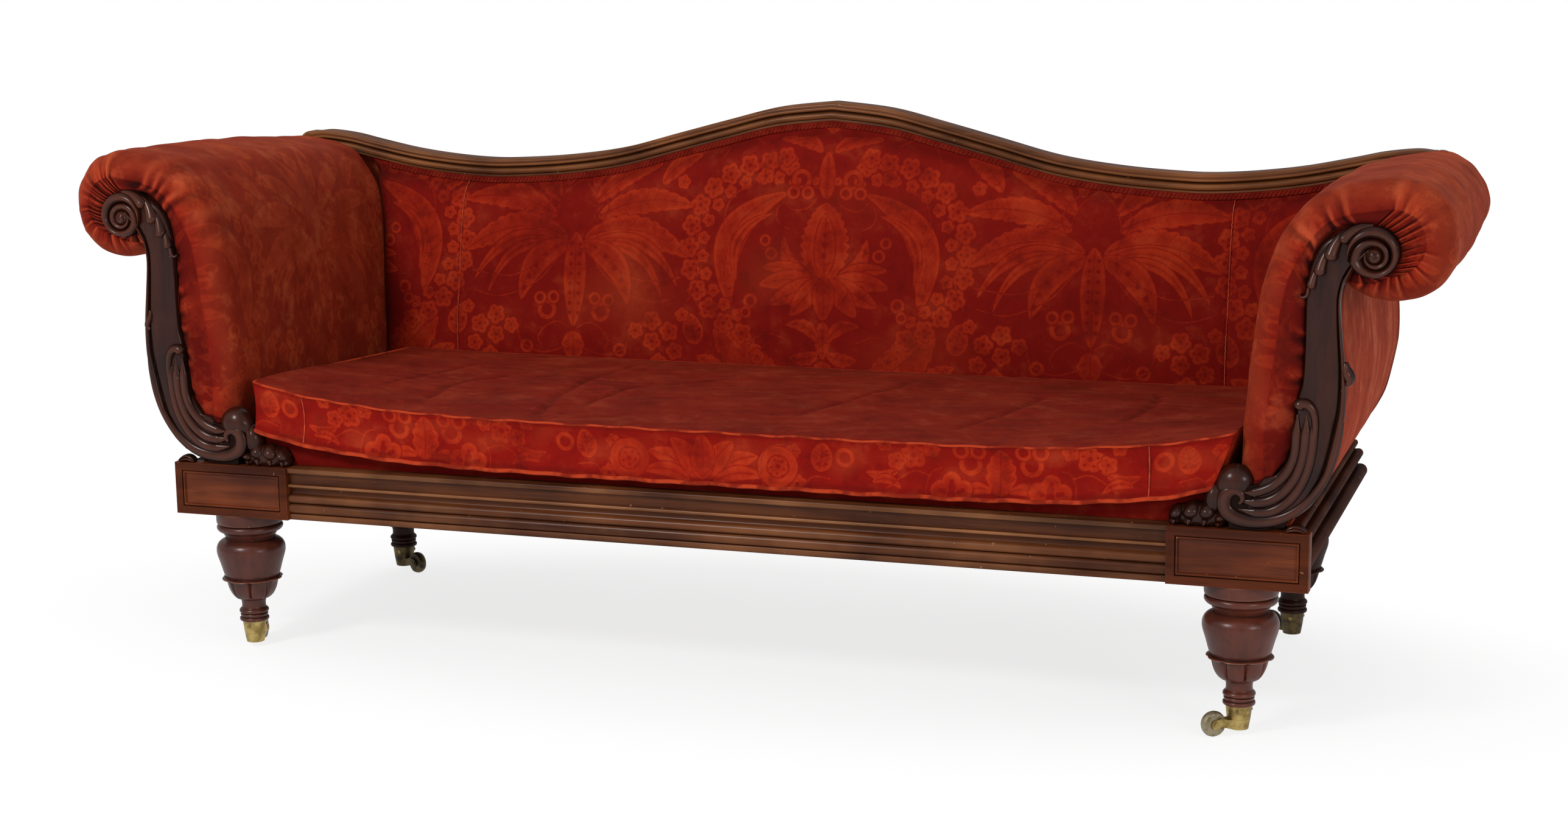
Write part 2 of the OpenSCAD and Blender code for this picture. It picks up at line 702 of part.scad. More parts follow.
// S-shaped post inside the arm, up to the timber on the roll's axis
post_head_margin = 10;
post_head_r = core_r + post_head_margin;
post_head_from = 120;
post_head_to = -140;
post_head_steps = 20;
module post_outline(grow) {
    outer = [for (p = shaft_outer) [p[0] - panel_t - gap + grow, p[1]]];
    inner = concat(timber, smooth(arm_spots(post_head_shares), 2));
    r = post_head_r + grow;
    polygon(concat(
        [for (p = inner) [p[0] + gap - grow, p[1] + grow * clamp(p[1] - roll_z)]],
        [for (i = [0:post_head_steps])
            let (a = blend(post_head_from, post_head_to, i / post_head_steps))
            [roll_x + r * cos(a), roll_z + r * sin(a)]],
        backwards(outer)));
}

module arm_post(s, y) {
    color(beech) side(s) front_view(y, y + post_t) post_outline(0);
}

module arm_roll_core(s) {
    color(beech) side(s) translate([roll_x, post_rear_y, roll_z])
        rotate([90, 0, 0]) cylinder(h = core_l, r = core_r, $fn = round_fn);
}

// The arm's section as points [x, z, rounding, swell], anticlockwise from
// behind: up the inner face, round the roll and down the timber line
roll_start = 100;
roll_end = -145;
roll_steps = 18;
swell_from_share = 0.7;
swell_to_share = 0.95;
swell_reach_share = 0.9;
function swell_at(z) = clamp(((z - rail_top) / arm_h - swell_from_share)
    / (swell_to_share - swell_from_share));
arm_section = concat(
    [[arm_in_x, soft_z, 1, 0]],
    [for (p = arm_inner) [p[0], p[1], 1, swell_at(p[1])]],
    [for (i = [0:roll_steps]) let (a = blend(roll_start, roll_end, i / roll_steps),
        hold = clamp((a - roll_end) / (-90 - roll_end)))
        [roll_x + roll_r * cos(a), roll_z + roll_r * sin(a), hold, hold]],
    [for (p = backwards(timber)) [p[0], max(p[1], soft_z), 0, 0]]);

// Outward normal of the section at point i
function section_normal(i) = let (n = len(arm_section),
    a = arm_section[(i + n - 1) % n], b = arm_section[(i + 1) % n],
    d = [b[0] - a[0], b[1] - a[1]]) [-d[1], d[0]] / max(norm(d), gap);
section_normals = [for (i = [0:len(arm_section) - 1]) section_normal(i)];

// Section i's point moved in by inset, swollen and opened out at depth y
function arm_point(i, y, inset) = let (p = arm_section[i], n = section_normals[i],
    t = clamp((y - front_y) / (arm_back_y - front_y)),
    swell = roll_swell * p[3] * sin(180 * clamp(t / swell_reach_share)),
    move = swell - inset * p[2],
    open = arm_splay * t * clamp(1 - (p[0] - arm_in_x) / pad_w))
    [p[0] + n[0] * move + open, y, max(soft_z, p[1] + n[1] * move)];

round_steps = 4;
body_steps = 5;
arm_face_y = front_y + arm_face_set;
arm_full_y = arm_face_y + arm_round_d;
arm_rings = concat(
    [for (k = [0:round_steps - 1]) let (a = 90 * k / round_steps)
        [arm_full_y - arm_round_d * cos(a), arm_round_in * (1 - sin(a))]],
    [for (k = [0:body_steps]) [blend(arm_full_y, arm_back_y - arm_end_round,
        k / body_steps), 0]],
    [[arm_back_y, arm_end_round]]);

// Stuffed arm as one closed skin over its rings
module arm_form() {
    n = len(arm_section);
    m = len(arm_rings);
    points = [for (r = arm_rings) for (i = [0:n - 1]) arm_point(i, r[0], r[1])];
    walls = [for (k = [0:m - 2]) for (i = [0:n - 1]) let (j = (i + 1) % n,
        a = k * n + i, b = k * n + j, c = a + n, d = b + n)
        each [[a, c, b], [b, c, d]]];
    caps = [[for (i = [0:n - 1]) i], [for (i = [n - 1:-1:0]) (m - 1) * n + i]];
    polyhedron(points, concat(walls, caps));
}

// Inner side, roll and rear end of the stuffed arm, hollow for its timbers
module arm_pad(s) {
    color(velvet_light) side(s) difference() {
        arm_form();
        span([arm_in_x - arm_h, front_y - over, rail_top - over],
            [roll_x + arm_h, pad_front_y, roll_z + arm_h]);
        front_view(post_y - gap, post_y + post_t + gap) post_outline(2 * gap);
        front_view(post_rear_y - gap, post_rear_y + post_t + gap) post_outline(2 * gap);
        translate([roll_x, post_rear_y + over, roll_z]) rotate([90, 0, 0])
            cylinder(h = core_l + 2 * over, r = core_r + gap, $fn = round_fn);
    }
}

// Stuffed front face of the arm, gathered round the carved facing: each
// section runs over the rounding and back along the facing's edge
face_rings = 3;
face_round = acos((arm_full_y - post_y) / arm_round_d);
face_outer = concat([for (k = [0:face_rings - 1]) arm_rings[k]],
    [[post_y, arm_round_in * (1 - sin(face_round))]]);
face_edge = concat(smooth(arm_spots(face_edge_shares), 3),
    [for (i = [0:roll_steps - 1]) let (a = blend(roll_start, roll_end, i / roll_steps))
        volute_at + (volute_r + 2 * gap) * [cos(a), sin(a)]]);
module arm_front_face(s) {
    n = len(face_edge);
    w = len(face_outer) + 2;
    points = [for (i = [0:n - 1]) each concat(
        [for (r = face_outer) arm_point(i + 1, r[0], r[1])],
        [for (y = [post_y, arm_face_y]) [face_edge[i][0], y, face_edge[i][1]]])];
    walls = [for (i = [0:n - 2]) for (k = [0:w - 1]) let (j = (k + 1) % w,
        a = i * w + k, b = i * w + j, c = a + w, d = b + w)
        each [[a, b, c], [b, d, c]]];
    ends = [for (k = [1:w - 2]) each [[0, k + 1, k],
        [(n - 1) * w, (n - 1) * w + k, (n - 1) * w + k + 1]]];
    color(velvet) side(s) polyhedron(points, concat(walls, ends));
}

// Padded outer side of the arm along the curve of the posts
module arm_outside_panel(s) {
    n = len(shaft_outer) - 1;
    color(velvet_light) side(s) front_view(post_y + gap, frame_back_y) polygon(concat(
        [for (i = [0:n]) [shaft_outer[i][0], max(shaft_outer[i][1], rail_top + gap)]],
        [for (i = [n:-1:0]) [shaft_outer[i][0] - panel_t,
            max(shaft_outer[i][1], rail_top + gap)]]));
}

// The crest's line lowered by drop, between two distances from the middle
function crest_under(drop, x0, x1) =
    [for (p = crest_full) if (p[0] > x0 && p[0] < x1) [p[0], p[1] - drop]];

module crest_band(from, to) {
    polygon(concat([for (p = crest_full) [p[0], p[1] - from]],
        [for (p = backwards(crest_full)) [p[0], p[1] - to]]));
}

module crest_rail() {
    color(mahogany) {
        for (b = crest_band_shares) front_view(crest_y + b[2] * crest_t, back_y)
            crest_band(b[0] * crest_h, b[1] * crest_h);
        front_view(crest_y + crest_t / 4, back_y) for (s = [-1, 1])
            dot(s * crest_end_x, crest_end_z, crest_end_r);
        front_view(frame_front_y, frame_back_y) crest_tongue();
    }
}

module crest_tongue() {
    top = crest_under(crest_h / 2, -block_x, block_x);
    foot = crest_under(crest_h + tongue_h, -block_x, block_x);
    polygon(concat(top, backwards(foot)));
}

// Height of the tongue's underside at x, with a clearance
function tongue_z(x) = crest_z(x) - crest_h - tongue_h - tenon_gap;

module upright_board(x, w, foot_z) {
    xs = [x - w / 2, x, x + w / 2];
    front_view(frame_front_y, frame_back_y) polygon(concat(
        [[xs[0], foot_z], [xs[2], foot_z]],
        [for (e = backwards(xs)) [e, tongue_z(e) - tenon_gap]]));
}

module back_stile(s) {
    color(beech) side(s) upright_board(block_x - stile_w / 2, stile_w, rail_top);
}

module back_upright(s) {
    color(beech) side(s)
        upright_board(upright_x, stile_w, rail_top + tack_rise + tack_h);
}

module back_tack_rail() {
    x = block_x - stile_w;
    color(beech) span([-x, frame_front_y, rail_top + tack_rise],
        [x, frame_back_y, rail_top + tack_rise + tack_h]);
}

// Woven strips on the front of the back's frame
module back_webbing() {
    foot = rail_top + tack_rise + tack_h / 3;
    reach = arm_in_x - web_w;
    low = foot + 2 * web_w;
    high = crest_low_z - crest_h - 2 * web_w;
    color(jute) {
        for (i = [0:back_up_webs - 1])
            let (x = blend(-reach, reach, i / (back_up_webs - 1)))
            span([x - web_w / 2, web_front_y, foot],
                [x + web_w / 2, frame_front_y, crest_z(x) - crest_h - tongue_h / 2]);
        for (i = [0:back_cross_webs - 1])
            let (z = blend(low, high, i / (back_cross_webs - 1)))
            span([-block_x, web_front_y, z], [block_x, frame_front_y, z + web_w]);
    }
}

// Stuffed back: a grid of points over its front, closed by a flat rear
back_columns = 40;
back_row_shares = [0, 0.15, 0.3, 0.45, 0.6, 0.75, 0.86, 0.93, 0.97, 1];
pad_foot_z = soft_z + gap;
pad_top_drop = crest_h + 2 * gap;
function back_edge_z(x) = crest_z(x) - pad_top_drop;
// Half the stuffing's length where it meets the opened-out arms
function back_reach(z) = arm_inner_x(z) + arm_splay
    * clamp(1 - (arm_inner_x(z) - arm_in_x) / pad_w) * (back_pad_front_y - front_y)
    / (arm_back_y - front_y) - 4 * gap;
function back_reach_at(v) = let (
    z1 = blend(pad_foot_z, back_edge_z(back_reach(crest_low_z)), v),
    z2 = blend(pad_foot_z, back_edge_z(back_reach(z1)), v)) back_reach(z2);
function pad_depth(share) = blend(back_pad_front_y, back_pad_back_y - web_t, share);
function back_spot(i, j) = let (u = 2 * i / back_columns - 1, v = back_row_shares[j],
    x = u * back_reach_at(v)) [x, blend(pad_foot_z, back_edge_z(x), v)];
module back_pad() {
    n = back_columns;
    m = len(back_row_shares) - 1;
    w = n + 1;
    depth = [for (v = back_row_shares) pad_depth(lookup(v, back_pad_shares))];
    front = [for (j = [0:m]) for (i = [0:n]) let (p = back_spot(i, j))
        [p[0], depth[j], p[1]]];
    rear = [for (j = [0:m]) for (i = [0:n]) let (p = back_spot(i, j))
        [p[0], back_pad_back_y, p[1]]];
    c = len(front);
    faces = concat(
        [for (j = [0:m - 1]) for (i = [0:n - 1]) let (a = j * w + i, b = a + 1,
            d = a + w, e = d + 1) each [[a, d, b], [b, d, e],
            [c + a, c + b, c + d], [c + b, c + e, c + d]]],
        [for (i = [0:n - 1]) let (a = i, b = i + 1, d = m * w + i, e = d + 1)
            each [[a, b, c + a], [b, c + b, c + a], [d, c + d, e], [e, c + d, c + e]]],
        [for (j = [0:m - 1]) let (a = j * w, b = a + w, d = a + n, e = d + w)
            each [[a, c + a, b], [b, c + a, c + b], [d, e, c + d], [e, c + e, c + d]]]);
    color(velvet) polyhedron(concat(front, rear), faces);
}

// Braid along the stuffing's upper edge, in front of its tacked margin
module back_gimp() {
    y = pad_depth(back_margin_share) - gap;
    reach = arm_in_x + pad_w / 2;
    color(braid_red) front_view(y - gimp_t, y) polygon(concat(
        crest_under(crest_h + gap, -reach, reach),
        backwards(crest_under(crest_h + gap + gimp_h, -reach, reach))));
}

// Cloth over the outside of the back, out to the curve of the arms
module outside_back() {
    edge = [for (p = shaft_outer) [p[0], max(p[1], rail_top + gap)]];
    x = edge[len(edge) - 1][0];
    half = concat(edge, [[x, crest_z(x) - crest_h - gap]]);
    color(velvet) front_view(cover_y, back_y) polygon(concat(half,
        backwards(crest_under(crest_h + gap, -x, x)),
        [for (p = backwards(half)) [-p[0], p[1]]]));
}

// Squab: sections along X with piped corners, drawn-in boxing and a crown
squab_steps = 26;
crown_steps = 6;
squab_y0 = front_y + squab_set;
squab_y1 = back_pad_front_y - gap;
squab_z = soft_z + platform_t + gap;
// Boxing from its lower to its upper edge: share of height, share outwards
boxing_shares = [[0, 0.4], [0.04, 1], [0.11, 0], [0.5, -1], [0.89, 0], [0.96, 1],
    [1, 0.4]];
function boxing_out(s) = s > 0 ? s * piping_r / 2 : s * squab_draw;
// One section's points [y, z] for a place u from -1 to 1 along the squab
function squab_section(u, foot_z, t) = let (
    crown = squab_crown * (1 - u * u * u * u),
    y0 = squab_y0 + piping_r, y1 = squab_y1 - piping_r)
    concat(
        [for (s = boxing_shares) [y0 - boxing_out(s[1]), foot_z + s[0] * t, s[0]]],
        [for (k = [1:crown_steps - 1]) let (q = k / crown_steps)
            [blend(y0, y1, q), foot_z + t + crown * sin(180 * q), 1]],
        [for (s = backwards(boxing_shares))
            [y1 + boxing_out(s[1]), foot_z + s[0] * t, s[0]]],
        [for (k = [crown_steps - 1:-1:1]) [blend(y0, y1, k / crown_steps), foot_z, 0]]);

module squab() {
    rings = squab_steps;
    spots = [for (k = [0:rings]) -cos(180 * k / rings)];
    points = [for (u = spots) let (x = u * squab_w / 2,
        sec = squab_section(u, squab_z + end_rise(x), squab_t))
        for (p = sec) let (q = (p[0] - squab_y0) / (squab_y1 - squab_y0))
        [squab_shift + u * (squab_w / 2 + squab_splay * q
            - squab_taper * (1 - p[2]) * u * u * u * u), p[0], p[1]]];
    n = len(squab_section(0, 0, 1));
    walls = [for (k = [0:rings - 1]) for (i = [0:n - 1]) let (j = (i + 1) % n,
        a = k * n + i, b = k * n + j, c = a + n, d = b + n)
        each [[a, b, c], [b, d, c]]];
    last = rings * n;
    middles = [for (k = [0, last]) (points[k] + points[k + n - 1]
        + points[k + len(boxing_shares) - 1] + points[k + n / 2]) / 4];
    caps = [for (i = [0:n - 1]) let (j = (i + 1) % n)
        each [[last + n, j, i], [last + n + 1, last + i, last + j]]];
    color(squab_red) polyhedron(concat(points, middles), concat(walls, caps));
}

front_rail();
rear_rail();
side_rail(-1);  // side_rail_left
side_rail(1);  // side_rail_right
front_die(-1);  // front_die_left
front_die(1);  // front_die_right
corner_block(-1, true);  // corner_block_front_left
corner_block(1, true);  // corner_block_front_right
corner_block(-1, false);  // corner_block_rear_left
corner_block(1, false);  // corner_block_rear_right
leg(-1, leg_front_y);  // leg_front_left
leg(1, leg_front_y);  // leg_front_right
leg(-1, leg_rear_y);  // leg_rear_left
leg(1, leg_rear_y);  // leg_rear_right
seat_bearer(-1);  // seat_bearer_left
seat_bearer(1);  // seat_bearer_right
seat_webbing();
seat_platform();
arm_facing(-1);  // arm_facing_left
arm_facing(1);  // arm_facing_right
arm_paw(-1);  // arm_paw_left
arm_paw(1);  // arm_paw_right
arm_post(-1, post_y);  // arm_post_front_left
arm_post(1, post_y);  // arm_post_front_right
arm_post(-1, post_rear_y);  // arm_post_rear_left
arm_post(1, post_rear_y);  // arm_post_rear_right
arm_roll_core(-1);  // arm_roll_core_left
arm_roll_core(1);  // arm_roll_core_right
arm_pad(-1);  // arm_pad_left
arm_pad(1);  // arm_pad_right
arm_front_face(-1);  // arm_front_face_left
arm_front_face(1);  // arm_front_face_right
arm_outside_panel(-1);  // arm_outside_panel_left
arm_outside_panel(1);  // arm_outside_panel_right
back_stile(-1);  // back_stile_left
back_stile(1);  // back_stile_right
back_upright(-1);  // back_upright_left
back_upright(1);  // back_upright_right
back_tack_rail();
crest_rail();
back_webbing();
back_pad();
back_gimp();
outside_back();
squab();
caster_cup(-1, leg_front_y);  // caster_cup_front_left
caster_cup(1, leg_front_y);  // caster_cup_front_right
caster_cup(-1, leg_rear_y);  // caster_cup_rear_left
caster_cup(1, leg_rear_y);  // caster_cup_rear_right
cup_screws();
caster_horn(-leg_x, leg_front_y, front_left_turn);  // caster_horn_front_left
caster_horn(leg_x, leg_front_y, front_right_turn);  // caster_horn_front_right
caster_horn(-leg_x, leg_rear_y, rear_left_turn);  // caster_horn_rear_left
caster_horn(leg_x, leg_rear_y, rear_right_turn);  // caster_horn_rear_right
caster_wheel(-leg_x, leg_front_y, front_left_turn);  // caster_wheel_front_left
caster_wheel(leg_x, leg_front_y, front_right_turn);  // caster_wheel_front_right
caster_wheel(-leg_x, leg_rear_y, rear_left_turn);  // caster_wheel_rear_left
caster_wheel(leg_x, leg_rear_y, rear_right_turn);  // caster_wheel_rear_right
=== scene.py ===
"""Scroll-end sofa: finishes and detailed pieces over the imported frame, in metres."""
import json
import math

import bmesh
import bpy
import numpy as np
from mathutils import Matrix, Vector

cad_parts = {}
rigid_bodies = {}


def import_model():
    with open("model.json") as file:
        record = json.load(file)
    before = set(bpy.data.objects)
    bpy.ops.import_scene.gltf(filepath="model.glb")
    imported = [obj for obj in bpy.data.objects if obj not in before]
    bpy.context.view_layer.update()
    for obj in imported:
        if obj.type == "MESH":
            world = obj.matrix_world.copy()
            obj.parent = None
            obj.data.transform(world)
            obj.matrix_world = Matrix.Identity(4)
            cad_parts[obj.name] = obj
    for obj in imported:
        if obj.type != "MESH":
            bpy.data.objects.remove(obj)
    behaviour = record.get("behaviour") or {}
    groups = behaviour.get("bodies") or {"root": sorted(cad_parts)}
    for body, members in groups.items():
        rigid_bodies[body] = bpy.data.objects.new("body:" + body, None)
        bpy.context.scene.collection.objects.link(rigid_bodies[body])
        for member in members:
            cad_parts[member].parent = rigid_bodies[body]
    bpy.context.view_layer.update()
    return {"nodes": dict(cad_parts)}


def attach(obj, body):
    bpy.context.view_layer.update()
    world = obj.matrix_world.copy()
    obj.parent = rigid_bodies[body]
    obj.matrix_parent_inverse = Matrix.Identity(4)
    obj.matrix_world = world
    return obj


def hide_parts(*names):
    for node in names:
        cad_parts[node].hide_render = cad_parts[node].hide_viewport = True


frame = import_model()

# Main lines of the sofa, for its right-hand side, as in the solids
FRONT_Y = -0.352
BACK_Y = 0.352
FRAME_X = 0.912
RAIL_TOP = 0.314
DIE_Z = 0.229
DIE_IN_X = 0.709
SHAFT_OUT = 0.044
ARM_H = 0.497
ARM_IN_X = 0.803
ARM_FACE_Y = -0.337
ARM_BACK_Y = 0.3075
ARM_SPLAY = 0.038
SPLAY_FADE = 0.12
ROLL_FALL = {"left": 0.024, "right": 0.015}
ARM_ROUND_D = 0.046
ARM_ROUND_IN = 0.040
ROLL = np.array([1.010, 0.726])
ROLL_R = 0.085
ROLL_SWELL = 0.005
PANEL_T = 0.008
POST_Y = -0.319
CREST_REACH = 1.036
CREST_LOW_Z = 0.751
CREST_RISE = 0.109
CREST_H = 0.031
CREST_Y = 0.308
CREST_DROP = 0.0316
PAD_FRONT_Y = 0.2409
PAD_REAR_Y = 0.3187
BACK_SEAM_X = 0.690
PAD_FOOT = 0.3166
SQUAB_FOOT = 0.3286
SQUAB_SHIFT = 0.017
SQUAB_SEAMS = (-0.681, 0.681)
SQUAB_W = 1.570
SQUAB_T = 0.083
SQUAB_RISE = 0.040
LEG_X = 0.810
LEG_YS = (-0.298, 0.238)
LEG_R = 0.0555
SIDES = (("left", -1), ("right", 1))
GAP = 0.0004  # left between a covering and the wood it meets

# Shares of the shaft's reach and of the arm's height, as in the solids
SHAFT_OUTER = [[-0.73, 0], [-0.45, 0.046], [0, 0.082], [0.36, 0.133], [0.64, 0.193],
    [0.93, 0.314], [1, 0.374], [0.98, 0.455], [0.86, 0.555], [0.75, 0.65], [0.8, 0.706]]
TIMBER = [[-1.68, 0], [-1.41, 0.062], [-0.91, 0.113], [-0.5, 0.173], [-0.3, 0.24],
    [-0.34, 0.45], [-0.31, 0.65]]
ARM_INNER = [[0, 0], [0, 0.2], [0, 0.28], [0.02, 0.36], [0.043, 0.455], [0.101, 0.656],
    [0.179, 0.777], [0.314, 0.877], [0.493, 0.95], [0.71, 0.984]]
FACE_EDGE = [[-1.9, 0.15], [-0.92, 0.2], [-0.62, 0.28], [-0.55, 0.36], [-0.36, 0.455],
    [-0.34, 0.656], [-0.2, 0.77], [0.14, 0.83], [0.72, 0.872], [1.35, 0.876]]
CREST_LINE = [[0, 1], [0.097, 0.9], [0.183, 0.7], [0.275, 0.47], [0.38, 0.21],
    [0.483, 0.07], [0.58, 0.005], [0.637, 0], [0.705, 0.045], [0.775, 0.13],
    [0.847, 0.265], [0.894, 0.36], [0.942, 0.41], [0.967, 0.39]]
VOLUTE = np.array([0.9868, 0.7121])


def srgb(red, green, blue):
    """A colour read on screen, 0 to 255, as linear light with full alpha."""
    c = np.array([red, green, blue]) / 255
    return tuple(np.where(c <= 0.04045, c / 12.92, ((c + 0.055) / 1.055) ** 2.4)) + (1.0,)


def curve(points, steps):
    """Smooth curve through the points: a cubic between two, its slope at a point
    half the way between the neighbours, with that many steps a stretch."""
    p = np.asarray(points, float)
    q = np.vstack([p[:1], p, p[-1:]])
    t = np.arange(steps)[:, None] / steps
    parts = []
    for a, b, c, d in zip(q, q[1:], q[2:], q[3:]):
        parts.append((2 * b + (c - a) * t + (2 * a - 5 * b + 4 * c - d) * t ** 2
            + (3 * b - a - 3 * c + d) * t ** 3) / 2)
    return np.vstack(parts + [p[-1:]])


def along(points, count):
    """The line through the points, cut at that many places at even distances."""
    p = np.asarray(points, float)
    gone = np.concatenate([[0], np.cumsum(np.linalg.norm(np.diff(p, axis=0), axis=1))])
    at = np.linspace(0, gone[-1], count)
    return np.stack([np.interp(at, gone, p[:, k]) for k in range(p.shape[1])], -1)


def arc(x, z, radius, start, end, count):
    """Points round a centre, from one angle to another, in degrees."""
    a = np.radians(np.linspace(start, end, count))
    return [(x + radius * math.cos(v), z + radius * math.sin(v)) for v in a]


def spots(shares):
    """Places in the arm's front view from shares of its shaft and height."""
    s = np.asarray(shares, float)
    return np.stack([FRAME_X + s[:, 0] * SHAFT_OUT, RAIL_TOP + s[:, 1] * ARM_H], -1)


def hump(t, centre, width):
    """A soft bump of height 1: e to the minus square of the distance in widths."""
    return np.exp(-((t - centre) / width) ** 2)


def ripple(x, y, seed, wave, count=9):
    """Smooth noise of about -1 to 1: a sum of cosines in random directions."""
    pick = np.random.default_rng(seed)
    total = 0.0
    for _ in range(count):
        turn, phase, stretch = pick.uniform(0, 2 * math.pi, 2).tolist() + [pick.uniform(0.6, 1.6)]
        along_x, along_y = math.cos(turn) / (wave * stretch), math.sin(turn) / (wave * stretch)
        total = total + np.cos(2 * math.pi * (x * along_x + y * along_y) + phase)
    return total / math.sqrt(count * 2)


def crest_z(x):
    """Height of the crest's upper edge at a distance from the middle."""
    line = curve([[s[0] * CREST_REACH, CREST_LOW_Z + s[1] * CREST_RISE] for s in CREST_LINE], 6)
    return np.interp(np.abs(x), line[:, 0], line[:, 1])


def grid_faces(rows, columns, closed=False):
    """Faces of a grid of points, row by row; closed joins the last column to the first."""
    i, j = np.meshgrid(np.arange(rows - 1), np.arange(columns - (not closed)), indexing="ij")
    k = (j + 1) % columns
    return np.stack([i * columns + j, i * columns + k, (i + 1) * columns + k,
        (i + 1) * columns + j], -1).reshape(-1, 4)


def rim(rows, columns):
    """Places of a grid's points round its edge, in order."""
    return np.concatenate([np.arange(columns), np.arange(1, rows) * columns + columns - 1,
        (rows - 1) * columns + np.arange(columns - 2, -1, -1), np.arange(rows - 2, 0, -1) * columns])


def normed(vectors):
    """Each vector at length 1."""
    return vectors / np.linalg.norm(vectors, axis=1)[:, None]


def smoothed(points):
    """Points of a closed line, each moved half the way to the middle of its neighbours."""
    return (np.roll(points, 1, 0) + 2 * points + np.roll(points, -1, 0)) / 4


def piece(name, points, faces, paint, body="frame", slot="mahogany", caps=(), values=None,
        sharp=35, mirror=1):
    """An object from points and faces, its doubles merged and its faces turned outwards."""
    points = np.asarray(points, float).reshape(-1, 3) * [mirror, 1, 1]
    mesh = bpy.data.meshes.new(name)
    mesh.from_pydata(points.tolist(), [], np.asarray(faces).tolist() + [list(c) for c in caps])
    for key, array in (values or {}).items():
        layer = mesh.attributes.new(key, "FLOAT", "POINT")
        layer.data.foreach_set("value", np.asarray(array, np.float32).ravel())
    build = bmesh.new()
    build.from_mesh(mesh)
    bmesh.ops.remove_doubles(build, verts=build.verts, dist=1e-6)
    bmesh.ops.recalc_face_normals(build, faces=build.faces)
    build.to_mesh(mesh)
    build.free()
    mesh.shade_smooth()
    mesh.set_sharp_from_angle(angle=math.radians(sharp))
    obj = bpy.data.objects.new(name, mesh)
    bpy.context.scene.collection.objects.link(obj)
    mesh.materials.append(paint)
    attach(obj, body)
    return obj


def swept(name, points, paint, **options):
    """A piece from closed sections in a row, as a grid of points with a section in each
    row, capped at both ends."""
    m, n = points.shape[:2]
    ends = (list(range(n)), list(range((m - 1) * n, m * n)))
    return piece(name, points, grid_faces(m, n, True), paint, caps=ends, **options)


def convexity(section):
    """How far each corner of a closed section stands out: its turn over its edges'
    length, smoothed, from -1 in a hollow to 1 on an arris."""
    s = np.asarray(section, float)
    before, after = s - np.roll(s, 1, 0), np.roll(s, -1, 0) - s
    turn = np.arctan2(before[:, 0] * after[:, 1] - before[:, 1] * after[:, 0], (before * after).sum(1))
    area = (s[:, 0] * np.roll(s[:, 1], -1) - s[:, 1] * np.roll(s[:, 0], -1)).sum()
    length = np.linalg.norm(before, axis=1) + np.linalg.norm(after, axis=1) + 0.0004
    bent = turn * np.sign(area) / length
    return np.tanh(smoothed(bent) / 260)


def moulding(name, section, path, side, up, paint, **options):
    """A closed section carried along a path: each point is the path's place, plus the
    section's first number along side and its second along up."""
    s, p = np.asarray(section, float), np.asarray(path, float)
    side, up = np.broadcast_to(side, p.shape), np.broadcast_to(up, p.shape)
    points = p[:, None] + s[None, :, :1] * side[:, None] + s[None, :, 1:] * up[:, None]
    return swept(name, points, paint, values={"edge": np.tile(convexity(s), len(p))}, **options)


def round_it(path, ahead, pole, radius, sides):
    """Circles of a cord along a path, each square to the way ahead."""
    side = normed(np.cross(ahead, pole))
    up = np.cross(side, ahead)
    a = np.linspace(0, 2 * math.pi, sides, endpoint=False)[None, :, None]
    return path[:, None] + radius * (np.cos(a) * side[:, None] + np.sin(a) * up[:, None])


def tube(name, path, radius, paint, sides, **options):
    """A round cord along a path, closed at both ends."""
    ahead = normed(np.gradient(path, axis=0))
    pole = np.where(np.abs(ahead[:, 1:2]) > 0.9, [1.0, 0, 0], [0, 1.0, 0])
    return swept(name, round_it(path, ahead, pole, radius, sides), paint, sharp=60, **options)


def ring_tube(name, loop, radius, paint, body, sides=9, pole=(0, 0, 1.0)):
    """A cord sewn round a closed loop of points that never runs along the pole."""
    ahead = normed(np.roll(loop, -1, 0) - np.roll(loop, 1, 0))
    m = len(loop)
    i, j = np.meshgrid(np.arange(m), np.arange(sides), indexing="ij")
    k, after = (j + 1) % sides, (i + 1) % m
    faces = np.stack([i * sides + j, i * sides + k, after * sides + k, after * sides + j], -1)
    return piece(name, round_it(loop, ahead, pole, radius, sides), faces.reshape(-1, 4), paint,
        body=body, slot="squab_velvet", sharp=80)


def lathe(name, outline, at, paint, sides, wave, **options):
    """A turned piece: each point of the outline, as radius and height, goes round the
    axis through at. wave changes the radius by angle and height."""
    o = np.asarray(outline, float)
    a = np.linspace(0, 2 * math.pi, sides, endpoint=False)
    radius = np.broadcast_to(o[:, :1], (len(o), sides)).copy()
    radius = wave(radius, a[None, :], o[:, 1:])
    points = np.stack([at[0] + radius * np.cos(a), at[1] + radius * np.sin(a),
        np.broadcast_to(o[:, 1:], radius.shape)], -1)
    half = np.vstack([o, [[0, o[-1, 1]], [0, o[0, 1]]]])
    edge = np.repeat(convexity(half)[:-2], sides)
    return swept(name, points, paint, values={"edge": edge}, **options)


class Num:
    """A number in a material; its operators add Math nodes."""

    def __init__(self, paint, socket):
        self.paint, self.socket = paint, socket

    def __add__(self, other):
        return self.paint.math("ADD", self, other)

    def __sub__(self, other):
        return self.paint.math("SUBTRACT", self, other)

    def __rsub__(self, other):
        return self.paint.math("SUBTRACT", other, self)

    def __mul__(self, other):
        return self.paint.math("MULTIPLY", self, other)

    __radd__ = __add__
    __rmul__ = __mul__


